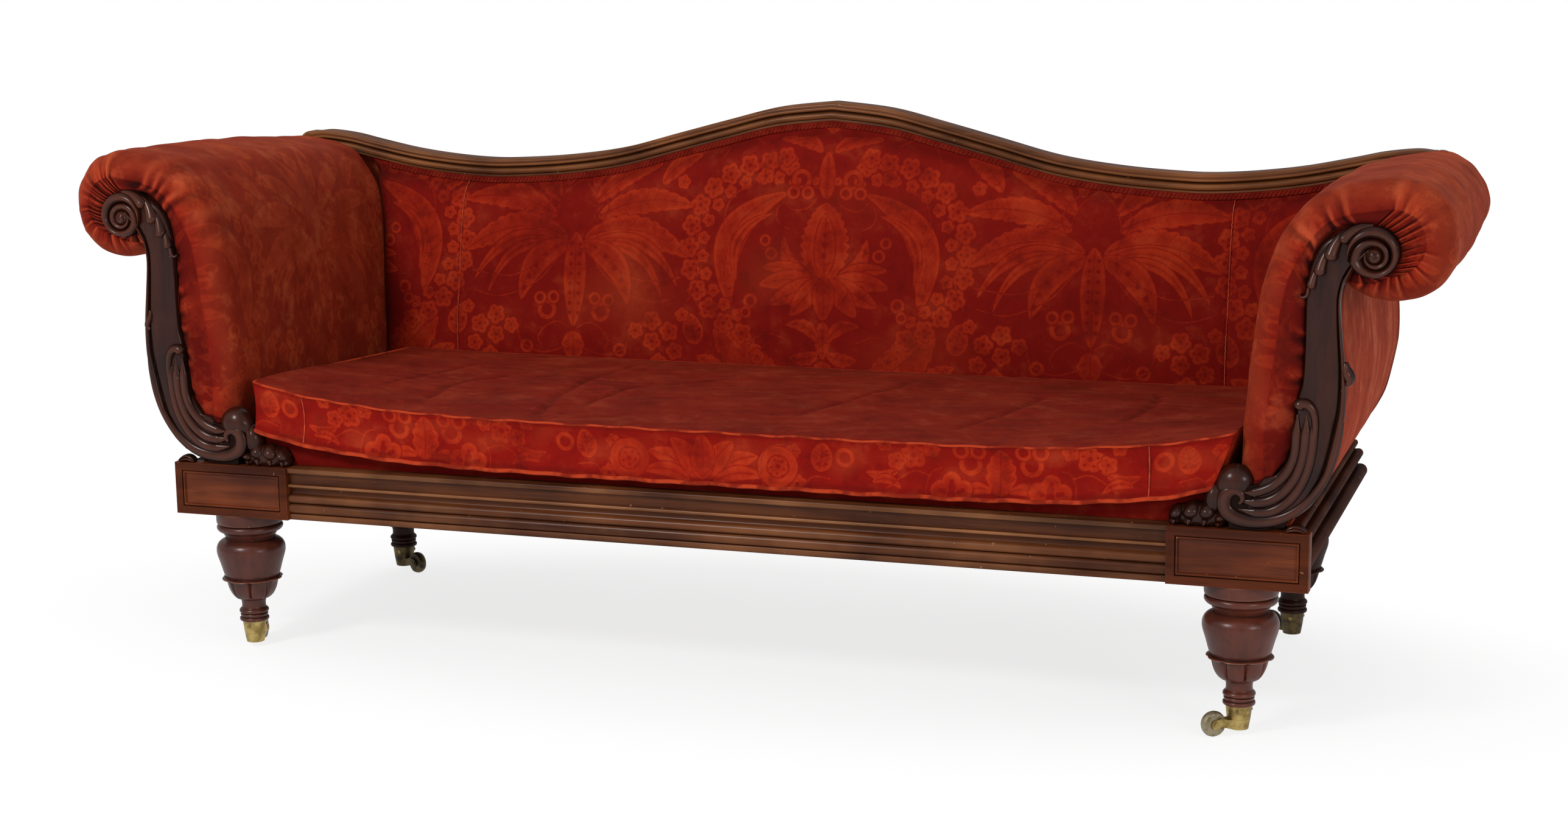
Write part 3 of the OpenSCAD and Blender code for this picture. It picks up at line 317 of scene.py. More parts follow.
class Paint:
    """A material being made, round its Principled shader, or the nodes of a given tree."""

    def __init__(self, name, tree=None, **constants):
        if tree:
            self.tree = tree
            return
        self.material = bpy.data.materials.new(name)
        self.material.use_nodes = True
        self.tree = self.material.node_tree
        self.shader = self.tree.nodes["Principled BSDF"]
        for key, value in constants.items():
            self.shader.inputs[key.replace("_", " ")].default_value = value
        self.place = self.add("ShaderNodeTexCoord").outputs["Object"]

    def add(self, kind, settings=None, sockets=None):
        """A node of that type, its settings first, then its sockets' values or links."""
        node = self.tree.nodes.new(kind)
        for key, value in (settings or {}).items():
            setattr(node, key, value)
        for key, value in (sockets or {}).items():
            self.feed(node.inputs[key], value)
        return node

    def feed(self, socket, value):
        """Links the socket to a value's own socket, or sets it."""
        value = value.socket if isinstance(value, Num) else value
        if isinstance(value, bpy.types.NodeSocket):
            self.tree.links.new(value, socket)
        else:
            socket.default_value = value

    def math(self, operation, *values):
        node = self.add("ShaderNodeMath", {"operation": operation}, dict(enumerate(values)))
        return Num(self, node.outputs[0])

    def spread(self, value, low, high):
        """0 where the value is low, 1 where it is high, smooth between them."""
        node = self.add("ShaderNodeMapRange", {"interpolation_type": "SMOOTHSTEP"},
            {0: value, 1: low, 2: high})
        return Num(self, node.outputs[0])

    def scaled(self, scale):
        """The place on the piece, stretched by a scale along each axis."""
        return self.add("ShaderNodeMapping", None, {"Vector": self.place, "Scale": scale}).outputs[0]

    def noise(self, scale, detail=4.0, rough=0.55, place=None, bend=0.0):
        """Fractal noise from 0 to 1, over the place on the piece or another one."""
        node = self.add("ShaderNodeTexNoise", None, {"Vector": place or self.place,
            "Scale": scale, "Detail": detail, "Roughness": rough, "Distortion": bend})
        return Num(self, node.outputs[0])

    def given(self, name):
        """A number that the piece's own mesh carries at each point."""
        return Num(self, self.add("ShaderNodeAttribute", {"attribute_name": name}).outputs["Fac"])

    def mix(self, first, second, share):
        """Two colours mixed by a share of the second."""
        node = self.add("ShaderNodeMix", {"data_type": "RGBA", "clamp_factor": True},
            {0: share, 6: first, 7: second})
        return node.outputs[2]

    def done(self, colour, roughness, height, depth, strength=1.0):
        """Links the finish to the shader; height is in units of depth, in metres."""
        self.feed(self.shader.inputs["Base Color"], colour)
        self.feed(self.shader.inputs["Roughness"], roughness)
        bump = self.add("ShaderNodeBump", None,
            {"Strength": strength, "Distance": depth, "Height": height})
        self.feed(self.shader.inputs["Normal"], bump.outputs[0])
        return self.material


def mahogany(name, dark, light, worn_highlight, grain, gloss=0.28, flecks=0.5, shine=0.18, wear_and_highlight_from=0.30):
    """Old polished mahogany: streaks along the grain, pores, light arrises where the
    piece's edge value is high, partly real rubbing and partly painted highlight, and
    grime where it is low, partly real and partly painted shade. The polish is a coat
    over it, patchy, and thin over the grime and in the chips."""
    dark, light, worn_highlight = (srgb(*colour) for colour in (dark, light, worn_highlight))
    p = Paint(name, Coat_Roughness=gloss, Specular_IOR_Level=0.0)
    streak = p.noise(1.0, 5.0, 0.62, p.scaled(grain), 0.6)
    fine = p.noise(1.0, 3.0, 0.6, p.scaled([g * 7 for g in grain]))
    cloud = p.noise(7.0, 3.0, 0.5)
    edge = p.given("edge")
    body = p.mix(dark, light, p.spread(streak * 0.6 + cloud * 0.4, 0.34, 0.66))
    body = p.mix(body, dark, p.spread(fine, 0.54, 0.72) * 0.45)
    # Light arrises where the edge value is high: partly real rubbing, partly painted highlight
    wear_and_highlight = p.spread(edge + (cloud - 0.5) * 0.7, wear_and_highlight_from, 1.0)
    body = p.mix(body, worn_highlight, wear_and_highlight * 0.6)
    # Near-black where the edge value is low: partly real grime, partly painted shade
    grime_and_shade = p.spread(0.0 - edge + (cloud - 0.5) * 0.3, 0.1, 0.7)
    body = p.mix(body, srgb(20, 11, 8), grime_and_shade * 0.8)
    chips = p.spread(p.noise(95.0, 2.0, 0.5), 0.735, 0.76) * flecks
    body = p.mix(body, srgb(160, 116, 84), chips)
    coat = (p.noise(26.0, 3.0) * 0.5 + 0.75 - chips * 0.5) * (1.0 - grime_and_shade * 0.8)
    p.feed(p.shader.inputs["Coat Weight"], coat * (shine * 1.5))
    relief = fine * 0.25 + streak * 0.2 + p.noise(150.0, 2.0) * 0.12
    return p.done(body, 0.6, relief, 0.0012, 0.55)


def velvet(name, ground, figure, worn_highlight, faded=0.3, contrast=1.0, sheen=0.2, fresh=None):
    """Cut velvet: a damask of two piles from the piece's figure and line values, in
    millimetres from an edge; a shading value that paints shade in folds and hollows and
    highlights on fold ridges, with some random variation; a value for places lightened by
    rubbing and for painted sheen; and a fine nap. Where the bright value is 1, the fresh
    ground, figure and highlight colours show."""
    ground, figure, worn_highlight = (srgb(*colour) for colour in (ground, figure, worn_highlight))
    p = Paint(name, Sheen_Weight=sheen, Sheen_Roughness=0.4, Sheen_Tint=srgb(255, 118, 70),
        Specular_IOR_Level=0.06)
    nap = p.noise(520.0, 2.0, 0.6)
    thread = p.noise(1.0, 2.0, 0.5, p.scaled((1500, 1500, 260)))
    soft = p.noise(12.0, 4.0, 0.62)
    mottle = p.noise(34.0, 3.0, 0.65)
    broad = p.noise(3.1, 3.0, 0.55)
    wander = (nap - 0.5) * 1.4
    shape = p.spread(p.given("figure") + wander, 1.1, -1.1)
    line = p.spread(p.given("line") + wander, 1.0, -1.0)
    both = shape + line - shape * line * 2.0
    if fresh:
        bright = p.given("bright")
        ground, figure, worn_highlight = (p.mix(old, srgb(*new), bright)
            for old, new in zip((ground, figure, worn_highlight), fresh))
    shown = p.spread(soft * 0.35 + broad * 0.35 + mottle * 0.3, 0.38, 0.60) * 0.66 + 0.34
    core = p.spread(p.given("figure"), -3.0, -9.0) * 0.34
    body = p.mix(ground, figure, both * shown * (1.0 - core) * contrast)
    # Patchy lighter places from rubbing, plus the piece's own value for rubbing and painted sheen
    wear_and_highlight = p.spread(mottle * 0.45 + soft * 0.55, 0.50, 0.66) * faded + p.given("wear")
    body = p.mix(body, worn_highlight, wear_and_highlight)
    deep = p.spread(mottle * 0.5 + soft * 0.5, 0.50, 0.34) * 0.42
    tone = p.given("tone")
    body = p.mix(body, srgb(76, 9, 6), deep)
    # Painted shade where the shading value is below 0, painted highlight where it is above
    body = p.mix(body, srgb(38, 4, 3), p.math("MAXIMUM", 0.0 - tone, 0.0) * 0.8)
    body = p.mix(body, worn_highlight, p.math("MAXIMUM", tone, 0.0) * 0.7)
    body = p.mix(body, srgb(70, 8, 5), p.spread(thread, 0.45, 0.7) * 0.2)
    relief = both * 0.35 + nap * 0.35 + thread * 0.2 + soft * 0.6
    return p.done(body, 0.82 + (nap - 0.5) * 0.2, relief, 0.0011, 0.6)


def plain(name, colour, second, scale, roughness, metal=0.0, stretch=(1, 1, 1), depth=0.0006):
    """A simple finish: two colours clouded together, with a slight relief."""
    p = Paint(name, Metallic=metal)
    cloud = p.noise(scale, 4.0, 0.6, p.scaled(stretch))
    fine = p.noise(scale * 6, 3.0, 0.6, p.scaled(stretch))
    body = p.mix(srgb(*colour), srgb(*second), p.spread(cloud, 0.38, 0.64))
    return p.done(body, roughness + (fine - 0.5) * 0.3, fine * 0.6 + cloud * 0.4, depth)


def braid(name, colour, second, pitch):
    """A twisted cord or braid: slanted strands of that pitch over a soft yarn."""
    p = Paint(name, Sheen_Weight=0.1, Sheen_Roughness=0.5, Sheen_Tint=srgb(255, 130, 80),
        Specular_IOR_Level=0.1)
    strands = p.add("ShaderNodeTexWave", {"bands_direction": "DIAGONAL"},
        {"Vector": p.place, "Scale": 1 / pitch, "Distortion": 1.5}).outputs[1]
    yarn = p.noise(900.0, 2.0)
    body = p.mix(srgb(*colour), srgb(*second), Num(p, strands) * 0.7 + (yarn - 0.5) * 0.5)
    body = p.mix(body, srgb(112, 14, 8), p.spread(p.noise(26.0, 3.0, 0.6), 0.44, 0.60) * 0.75)
    return p.done(body, 0.85, Num(p, strands) * 0.7 + yarn * 0.4, 0.0009)


# Finishes: mahogany as dark, light, highlight colour, grain, gloss, flecks, shine and the edge value
# where its light arrises start
RAIL_WOOD = mahogany("rail_mahogany", (50, 22, 11), (100, 54, 28), (196, 136, 88), (1.6, 30, 30),
    wear_and_highlight_from=0.08)
SIDE_WOOD = mahogany("side_rail_mahogany", (34, 15, 10), (66, 32, 20), (132, 82, 58), (30, 1.6, 30),
    0.42, shine=0.07, wear_and_highlight_from=0.12)
DIE_WOOD = mahogany("die_mahogany", (62, 25, 12), (112, 52, 24), (122, 66, 40), (2.2, 26, 26), 0.26)
CARVED_WOOD = mahogany("carved_mahogany", (26, 9, 6), (56, 22, 12), (88, 46, 30), (26, 26, 3.0),
    0.25, 0.15, 0.30)
LEG_WOOD = mahogany("leg_mahogany", (56, 24, 17), (90, 42, 29), (134, 84, 62), (14, 14, 6.0),
    0.30, 0.3, 0.42)
# Rear legs: a darker copy of the leg wood, painted shade for their place at the back under the sofa
SHADED_LEG_WOOD = mahogany("rear_leg_mahogany", (30, 14, 10), (50, 24, 16), (84, 52, 38), (14, 14, 6.0),
    0.34, 0.3, 0.16)
CREST_WOOD = mahogany("crest_mahogany", (62, 31, 15), (114, 65, 33), (190, 128, 78), (1.6, 30, 30),
    0.30, wear_and_highlight_from=0.10)
BACK_VELVET = velvet("back_velvet", (116, 14, 8), (164, 42, 15), (188, 78, 40), 0.16, 0.80, 0.10)
ARM_VELVET = velvet("arm_velvet", (122, 31, 15), (160, 58, 26), (168, 82, 48), 0.44, 0.62, 0.16,
    fresh=((108, 13, 7), (160, 44, 17), (180, 74, 44)))
PANEL_VELVET = velvet("arm_panel_velvet", (146, 50, 28), (164, 66, 38), (190, 104, 74), 0.6, 0.3, 0.2)
SQUAB_VELVET = velvet("squab_velvet", (130, 15, 8), (178, 48, 18), (200, 84, 44), 0.18, 0.76, 0.10)
TOP_VELVET = velvet("squab_top_velvet", (112, 22, 12), (130, 34, 16), (142, 58, 36), 0.4, 0.45, 0.08)
PIPING = braid("piping_cord", (172, 40, 17), (220, 92, 48), 0.004)
GIMP = braid("gimp_braid", (122, 20, 12), (162, 48, 28), 0.003)
THREAD = plain("seam_thread", (186, 66, 28), (150, 40, 18), 60, 0.9)
BRASS = plain("aged_brass", (182, 158, 98), (128, 106, 60), 45, 0.42, 0.9)
# Rear casters: a darker copy of the brass, painted shade under the sofa
SHADED_BRASS = plain("blackened_brass", (86, 72, 42), (42, 34, 22), 60, 0.5, 0.8)
SCREW = plain("screw_brass", (138, 118, 70), (96, 80, 46), 60, 0.5, 0.8)
WHEEL = plain("worn_wheel", (150, 138, 112), (96, 84, 60), 70, 0.5, 0.7)
BEECH = plain("plain_beech", (178, 138, 92), (140, 100, 60), 5, 0.7, 0.0, (1, 6, 6))
STAINED = plain("stained_block", (58, 30, 22), (38, 20, 15), 14, 0.6, 0.0, (1, 3, 3))
JUTE = plain("jute_web", (168, 140, 96), (120, 96, 60), 260, 0.9)


# The photograph's camera: turns in degrees to the left, up and round, place and lens in mm
CAMERA_TURNS = (19.045, -10.754, -0.638)
CAMERA_PLACE = (1.3852, -3.972, 1.178)
CAMERA_LENS = 60.26
FILM_WIDTH = 36.0
LAMPS = (("key", (-1.6, -3.4, 3.1), 0.8, 96), ("fill", (3.4, -2.6, 1.7), 0.9, 28))
LAMP_AIM = (0, 0, 0.45)
WHITE = (1, 1, 1, 1)


def stand_camera():
    """Camera at the photograph's place."""
    yaw, pitch, roll = (math.radians(v) for v in CAMERA_TURNS)
    level = math.cos(pitch)
    ahead = np.array([-math.sin(yaw) * level, math.cos(yaw) * level, math.sin(pitch)])
    right = np.cross(ahead, [0, 0, 1])
    right /= np.linalg.norm(right)
    up = np.cross(right, ahead)
    side = right * math.cos(roll) + up * math.sin(roll)
    top = up * math.cos(roll) - right * math.sin(roll)
    data = bpy.data.cameras.new("camera")
    data.lens, data.sensor_width, data.clip_end = CAMERA_LENS, FILM_WIDTH, 100.0
    camera = bpy.data.objects.new("camera", data)
    turn = np.eye(4)
    turn[:3, 0], turn[:3, 1], turn[:3, 2] = side, top, -ahead
    turn[:3, 3] = CAMERA_PLACE
    camera.matrix_world = Matrix(turn.tolist())
    bpy.context.scene.collection.objects.link(camera)
    bpy.context.scene.camera = camera


def lay_floor():
    """A wide floor, white to the camera beyond the sofa, with a faint shadow near it."""
    p = Paint("pale_floor", Base_Color=srgb(246, 246, 246), Roughness=0.9, Specular_IOR_Level=0.1)
    flat = p.scaled((0.9, 1.9, 0))
    far = Num(p, p.add("ShaderNodeVectorMath", {"operation": "LENGTH"}, {0: flat}).outputs["Value"])
    ray = p.add("ShaderNodeLightPath")
    seen = p.math("MAXIMUM", ray.outputs["Is Camera Ray"], ray.outputs["Is Glossy Ray"])
    share = (p.spread(far, 0.7, 1.35) * 0.23 + 0.77) * seen
    glow = p.add("ShaderNodeEmission", None, {"Color": WHITE, "Strength": 1.0})
    mixed = p.add("ShaderNodeMixShader", None, {0: share, 1: p.shader.outputs[0], 2: glow.outputs[0]})
    p.feed(p.tree.nodes["Material Output"].inputs["Surface"], mixed.outputs[0])
    mesh = bpy.data.meshes.new("floor")
    mesh.from_pydata([(-9, -9, 0), (9, -9, 0), (9, 9, 0), (-9, 9, 0)], [], [(0, 1, 2, 3)])
    mesh.materials.append(p.material)
    floor = bpy.data.objects.new("floor", mesh)
    bpy.context.scene.collection.objects.link(floor)


def light():
    """White to the camera, and a soft plain light on the sofa."""
    world = bpy.data.worlds.new("studio")
    bpy.context.scene.world = world
    world.use_nodes = True
    p = Paint("studio", world.node_tree)
    ray = p.add("ShaderNodeLightPath")
    seen = p.math("MAXIMUM", ray.outputs["Is Camera Ray"], ray.outputs["Is Transmission Ray"])
    sky = p.add("ShaderNodeBackground", None, {"Color": WHITE, "Strength": 0.62})
    white = p.add("ShaderNodeBackground", None, {"Color": WHITE, "Strength": 1.0})
    mixed = p.add("ShaderNodeMixShader", None, {0: seen, 1: sky.outputs[0], 2: white.outputs[0]})
    p.feed(p.tree.nodes["World Output"].inputs["Surface"], mixed.outputs[0])
    for name, place, size, power in LAMPS:
        data = bpy.data.lights.new(name, "AREA")
        data.size, data.energy = size, power
        lamp = bpy.data.objects.new(name, data)
        place = Vector(place)
        lamp.location = place
        lamp.rotation_euler = (Vector(LAMP_AIM) - place).to_track_quat("-Z", "Y").to_euler()
        bpy.context.scene.collection.objects.link(lamp)


# Show wood of the frame
def bend(a, b, c, count):
    """Points from a to c, pulled towards b."""
    t = np.linspace(0, 1, count)[:, None]
    a, b, c = (np.asarray(v, float) for v in (a, b, c))
    return (1 - t) ** 2 * a + 2 * t * (1 - t) * b + t * t * c


def rounded(points, radius, steps):
    """An outline whose corners are rounded by a curve that starts that far before the
    corner and ends as far after it."""
    p = np.asarray(points, float)
    out = []
    for a, b, c in zip(np.roll(p, 1, 0), p, np.roll(p, -1, 0)):
        before, after = (min(radius / np.linalg.norm(v - b), 0.49) for v in (a, c))
        out.append(bend(b + (a - b) * before, b, b + (c - b) * after, steps))
    return np.vstack(out)


def front_rail():
    """The front rail: a flat fillet, a hollow field and two large reeds, across the front."""
    face, body, back, top, foot = -0.347, -0.3405, -0.3053, 0.3137, 0.2293
    section = ([(back, top), (face + 0.001, top), (face, top - 0.001), (face, top - 0.0068),
        (face + 0.0016, top - 0.0085), (body - 0.0006, top - 0.0093), (body, top - 0.0105),
        (body + 0.0002, 0.2892), (body, 0.2883)]
        + arc(-0.3434, 0.2851, 0.0030, 130, 250, 9)
        + [(body + 0.0005, 0.2815), (body + 0.0028, 0.2775), (body + 0.0030, 0.2742),
            (body + 0.0008, 0.2712)]
        + arc(-0.3398, 0.2633, 0.0073, 106, 254, 13) + arc(-0.3383, 0.2478, 0.0088, 114, 250, 13)
        + [(-0.3435, 0.2388), (-0.3442, 0.2378), (-0.3442, 0.2305), (-0.3432, foot), (back, foot)])
    path = [(x, 0, 0) for x in np.linspace(-DIE_IN_X + GAP, DIE_IN_X - GAP, 60)]
    rail = moulding("front_rail_moulding", section, path, (0, 1, 0), (0, 0, 1), RAIL_WOOD, sharp=50)
    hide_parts("front_rail")


def side_rail(side, s):
    """The side rail's moulding, from the front post to the rear."""
    top = RAIL_TOP - 0.0003
    section = ([(0.865, 0.2502), (0.865, top), (0.888, top)] + arc(0.8895, 0.3085, 0.0055, 88, -80, 11)
        + [(0.8895, 0.3020), (0.8905, 0.2985)] + arc(0.8965, 0.2915, 0.0075, 108, -66, 13)
        + [(0.8965, 0.2838), (0.8945, 0.2800), (0.8935, 0.2760), (0.8958, 0.2735)]
        + arc(0.9000, 0.2625, 0.0113, 96, -60, 13) + [(0.9045, 0.2513), (0.9030, 0.2502)])
    path = [(0, y, 0) for y in np.linspace(-0.3268, BACK_Y, 40)]
    rail = moulding(f"side_rail_moulding_{side}", section, path, (1, 0, 0), (0, 0, 1), SIDE_WOOD,
        sharp=50, mirror=s)
    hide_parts(f"side_rail_{side}")


def framed_die(side, s):
    """A block's face as rectangles inside each other: each step's distance from the
    block's edge and depth behind its face. Its panel and its back close it."""
    steps = [(0.0, 0.0247), (0.0, 0.0010), (0.0004, 0.0003), (0.0010, 0.0), (0.0120, 0.0),
        (0.0128, 0.0004), (0.0132, 0.0016), (0.0136, 0.0030), (0.0140, 0.0020), (0.0148, 0.0006),
        (0.0158, 0.0002), (0.0168, 0.0006), (0.0176, 0.0022), (0.0180, 0.0040)]
    # Edge value at each step: lighter on the raised steps, partly rubbing and partly painted highlight;
    # darker in the hollow ones, partly grime and partly painted shade
    edge = [0, -0.2, 0.4, -0.4, -0.4, -0.5, -0.9, -1, -0.4, 0.1, 0.25, 0.1, -0.1, -0.2]
    d, y = np.array(steps).T
    x0, x1, z0, z1 = DIE_IN_X + d, FRAME_X - d, DIE_Z + d, RAIL_TOP - 0.0002 - d
    points = np.stack([np.stack([x, FRONT_Y + y, z], -1)
        for x, z in ((x0, z0), (x1, z0), (x1, z1), (x0, z1))], 1)
    inner = points[-1:] * 0.94 + points[-1].mean(0) * 0.06
    die = swept(f"front_die_panel_{side}", np.concatenate([points, inner]), DIE_WOOD,
        values={"edge": np.repeat(edge + [-0.1], 4)}, sharp=30, mirror=s)
    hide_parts(f"front_die_{side}")


def legs():
    """The four turned legs, from shares of the bulb's radius and of the turned height."""
    turn, tall = 0.0441, DIE_Z - 0.0441
    shares = [[0.937, 1], [0.964, 0.995], [0.964, 0.908], [0.919, 0.9], [0.892, 0.892],
        [0.942, 0.878], [0.964, 0.859], [0.942, 0.84], [0.892, 0.826], [0.811, 0.818], [0.757, 0.789],
        [0.712, 0.756], [0.829, 0.74], [0.928, 0.718], [0.986, 0.685], [1, 0.653], [0.984, 0.61],
        [0.901, 0.528], [0.82, 0.441], [0.784, 0.414], [0.8, 0.404], [0.852, 0.397], [0.847, 0.388],
        [0.772, 0.38], [0.745, 0.366], [0.725, 0.34], [0.705, 0.31], [0.668, 0.276], [0.6, 0.24],
        [0.5, 0.212], [0.4, 0.203], [0.369, 0.192], [0.348, 0.159], [0.357, 0.121], [0.405, 0.108],
        [0.432, 0.092], [0.414, 0.077], [0.378, 0.07], [0.405, 0.059], [0.391, 0.046], [0.391, 0.035],
        [0.42, 0.028], [0.429, 0.015], [0.405, 0.002], [0.307, 0], [0.268, -0.085]]
    outline = curve([(r * LEG_R, turn + h * tall) for r, h in shares], 3)
    outline = np.vstack([[[0.0004, DIE_Z]], outline])
    petals = 8

    def lappets(radius, angle, height):
        """Eight petals below the bulb's ring: a groove runs down between each two, deepest
        near the foot, and each petal's face is flat, so its sides stand out a little. A
        lip at their top scallops the ring."""
        place = (angle * petals / (2 * math.pi) + 0.5) % 1.0 - 0.5
        up = (height - turn) / tall
        band = np.clip((up - 0.212) / 0.02, 0, 1) * np.clip((0.396 - up) / 0.012, 0, 1)
        groove = hump(np.abs(place), 0.5, 0.052 + 0.05 * np.clip((up - 0.24) / 0.14, 0, 1))
        face = 0.0014 * (1 - (2 * place) ** 2) * np.clip((0.38 - up) / 0.1, 0, 1)
        lip = 0.0016 * hump(up, 0.390, 0.010) * np.cos(place * math.pi) ** 0.5
        return radius - (groove * 0.0048 + face - 0.0006) * band + lip

    for side, s in SIDES:
        for name, y in zip(("front", "rear"), LEG_YS):
            # The rear legs take the darker copy: painted shade
            wood = LEG_WOOD if name == "front" else SHADED_LEG_WOOD
            leg = lathe(f"turned_leg_{name}_{side}", outline, (LEG_X, y), wood,
                sides=192, wave=lappets, mirror=s)
            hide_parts(f"leg_{name}_{side}")


def crest():
    """The crest's moulding lowered from its line: a round top, a bead, a cove, a torus;
    and its turned ends over the arms' rolls."""
    y0, y1 = CREST_Y, BACK_Y - GAP
    top = [(y1, -0.002), (y1 - 0.003, 0.0002), (y0 + 0.012, 0.0)] + [
        (y0 + 0.0046 + 0.0046 * math.cos(a), -0.0068 + 0.0066 * math.sin(a))
        for a in np.radians(np.linspace(78, 170, 8))]
    bead = arc(y0 + 0.0034, -0.0102, 0.0034, 140, 232, 7)
    cove = [(y0 + 0.0040, -0.0136), (y0 + 0.0052, -0.0152), (y0 + 0.0040, -0.0168)]
    torus = arc(y0 + 0.0058, -0.0222, 0.0056, 118, 246, 11)
    foot = [(y0 + 0.0044, -0.0279), (y0 + 0.0040, -0.0288), (y0 + 0.0042, -CREST_DROP),
        (y1, -CREST_DROP - 0.0002)]
    section = top + bead + cove + torus + foot
    x = np.linspace(-1.0075, 1.0075, 360)
    path = np.stack([x, x * 0, crest_z(x)], -1)
    rail = moulding("crest_moulding", section, path, (0, 1, 0), (0, 0, 1), CREST_WOOD, sharp=45)
    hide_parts("crest_rail")
    end_x, end_z, sides = 1.014, 0.7717, 48
    for side, s in SIDES:
        ring = [(0.0, y0 + 0.0175), (0.004, y0 + 0.0105), (0.0065, y0 + 0.0115), (0.008, y0 + 0.0155),
            (0.012, y0 + 0.0155), (0.0135, y0 + 0.0118), (0.0165, y0 + 0.0110), (0.0195, y0 + 0.0118),
            (0.0213, y0 + 0.0150), (0.0218, y0 + 0.0200), (0.0218, y1 - 0.002), (0.0200, y1), (0.0, y1)]
        r, y = curve(ring, 3).T
        a = np.linspace(0, 2 * math.pi, sides, endpoint=False)
        points = np.stack([end_x + r[:, None] * np.cos(a), np.broadcast_to(y[:, None], (len(r), sides)),
            end_z + r[:, None] * np.sin(a)], -1)
        end = piece(f"crest_end_{side}", points, grid_faces(len(r), sides, True), CREST_WOOD,
            values={"edge": np.repeat(convexity(np.stack([r, -y], -1)), sides)}, mirror=s, sharp=60)


# Carved facings of the arms
FIELD_Y = -0.3462
ROLL_CUT = [(math.cos(a), math.sin(a)) for a in np.linspace(math.pi, 0, 11)] + [(1, -1.6), (-1, -1.6)]
LEAF_CUT = [(v, math.sqrt(max(1 - v * v, 0)) * (1 - 0.42 * math.exp(-((v - 0.1) / 0.17) ** 2)))
    for v in np.linspace(-1, 1, 17)] + [(1, -1.2), (-1, -1.2)]


def carved(name, line, width, height, side, s, cut=ROLL_CUT, base=FIELD_Y):
    """A carved ridge: at each place on its line the cut spreads by the half width to both
    sides, and stands before the base by the height times the cut's second number."""
    p = np.asarray(line, float)
    n = len(p)
    ahead = np.gradient(p, axis=0)
    ahead /= np.linalg.norm(ahead, axis=1)[:, None] + 1e-9
    w, h, b = (np.broadcast_to(v, n)[:, None] for v in (width, height, base))
    c = np.asarray(cut)
    x = p[:, :1] - ahead[:, 1:] * w * c[None, :, 0]
    z = p[:, 1:] + ahead[:, :1] * w * c[None, :, 0]
    y = b - h * c[None, :, 1]
    # The ridge's crest lighter, partly rubbing and partly painted highlight; its foot darker, partly
    # grime and partly painted shade
    edge = np.clip(np.broadcast_to(c[:, 1] * 1.7 - 0.85, (n, len(c))), -1, 1)
    return swept(f"{name}_{side}", np.stack([x, y, z], -1), CARVED_WOOD, values={"edge": edge},
        mirror=s, sharp=60)


def facing_shaft(side, s):
    """The S-shaped shaft: across it from the outer to the inner edge lie a round bead,
    a quirk and a gently hollow field; the section goes round its back."""
    n = 150
    outer = along(curve(spots(SHAFT_OUTER)[1:], 12), n)
    inner = along(curve(spots([[-2.25, 0.02], [-1.64, 0.141], [-1.18, 0.163], [-0.89, 0.193],
        [-0.68, 0.233], [-0.55, 0.274], [-0.52, 0.344], [-0.48, 0.39], [-0.36, 0.44], [-0.32, 0.54],
        [-0.32, 0.676], [-0.2, 0.757], [0.14, 0.821], [0.7, 0.86]]), 12), n)
    end = along(np.vstack([outer[-1:], [[0.962, 0.694]], [[0.975, 0.708]]]), 26)[1:]
    outer = np.vstack([outer, end])
    last = along(np.vstack([inner[-1:], [[0.966, 0.741]], [[0.982, 0.738]]]), 26)[1:]
    inner = np.vstack([inner, last])
    # Shares across the shaft: close together over the bead and at the inner edge
    t = np.concatenate([[0, 0.012], np.linspace(0.03, 0.2, 12), np.linspace(0.23, 0.93, 15),
        [0.965, 0.988, 1.0]])
    wide = np.linalg.norm(inner - outer, axis=1)[:, None]
    across = t[None] * wide
    bead_r, bead_h, quirk_d, fall_d = 0.0052, 0.0048, 0.0024, 0.004
    bead = np.clip(1 - ((across - bead_r) / bead_r) ** 2, 0, None) * bead_h
    quirk = hump(across, 2 * bead_r + 0.001, 0.0016) * quirk_d
    field = (np.clip((across - 2 * bead_r) / 0.02, 0, 1) * 0.0004
        + 0.0012 * np.sin(math.pi * t[None]) ** 2)
    fall = np.clip((fall_d - (wide - across)) / fall_d, 0, 1) ** 2 * fall_d
    y = FIELD_Y - np.maximum(bead, field * (across > bead_r)) + quirk + fall * (across > bead_r)
    y[:, 0] = FIELD_Y + 0.001
    points = outer[:, None] * (1 - t[None, :, None]) + inner[:, None] * t[None, :, None]
    front = np.stack([points[..., 0], y, points[..., 1]], -1)
    rear = np.stack([front[:, -1], front[:, 0]], 1)
    rear[:, :, 1] = POST_Y
    rear[:, 1, ::2] += (points[:, -1] - points[:, 0]) / wide * 0.0075
    whole = np.concatenate([front, rear], 1)
    # The bead lighter, partly rubbing and partly painted highlight; the quirk and the field's fall
    # darker, partly grime and partly painted shade
    edge = np.clip(bead / 0.0045 - 0.35 - 1.9 * quirk / quirk_d, -1, 1) * (across < 0.016)
    edge = np.concatenate([edge - fall / fall_d * 0.4, np.zeros((len(whole), 2))], 1)
    shaft = swept(f"facing_shaft_{side}", whole, CARVED_WOOD, values={"edge": edge}, mirror=s, sharp=45)
    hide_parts(f"arm_facing_{side}")
    # A bump at the shaft's waist, smaller and further in on the left
    small = 1.0 if side == "right" else 0.7
    line = curve([(0.9535, 0.560), (0.9545, 0.550), (0.9580, 0.5415), (0.9600, 0.5345),
        (0.9560, 0.5285)], 6)
    line[:, 0] -= (1 - small) * 0.030
    carved("facing_bump", line, small * 0.0060 * np.sin(np.linspace(0.3, 2.8, len(line))) + 0.001,
        small * 0.0072 * np.sin(np.linspace(0.3, 2.9, len(line))) + 0.001, side, s)


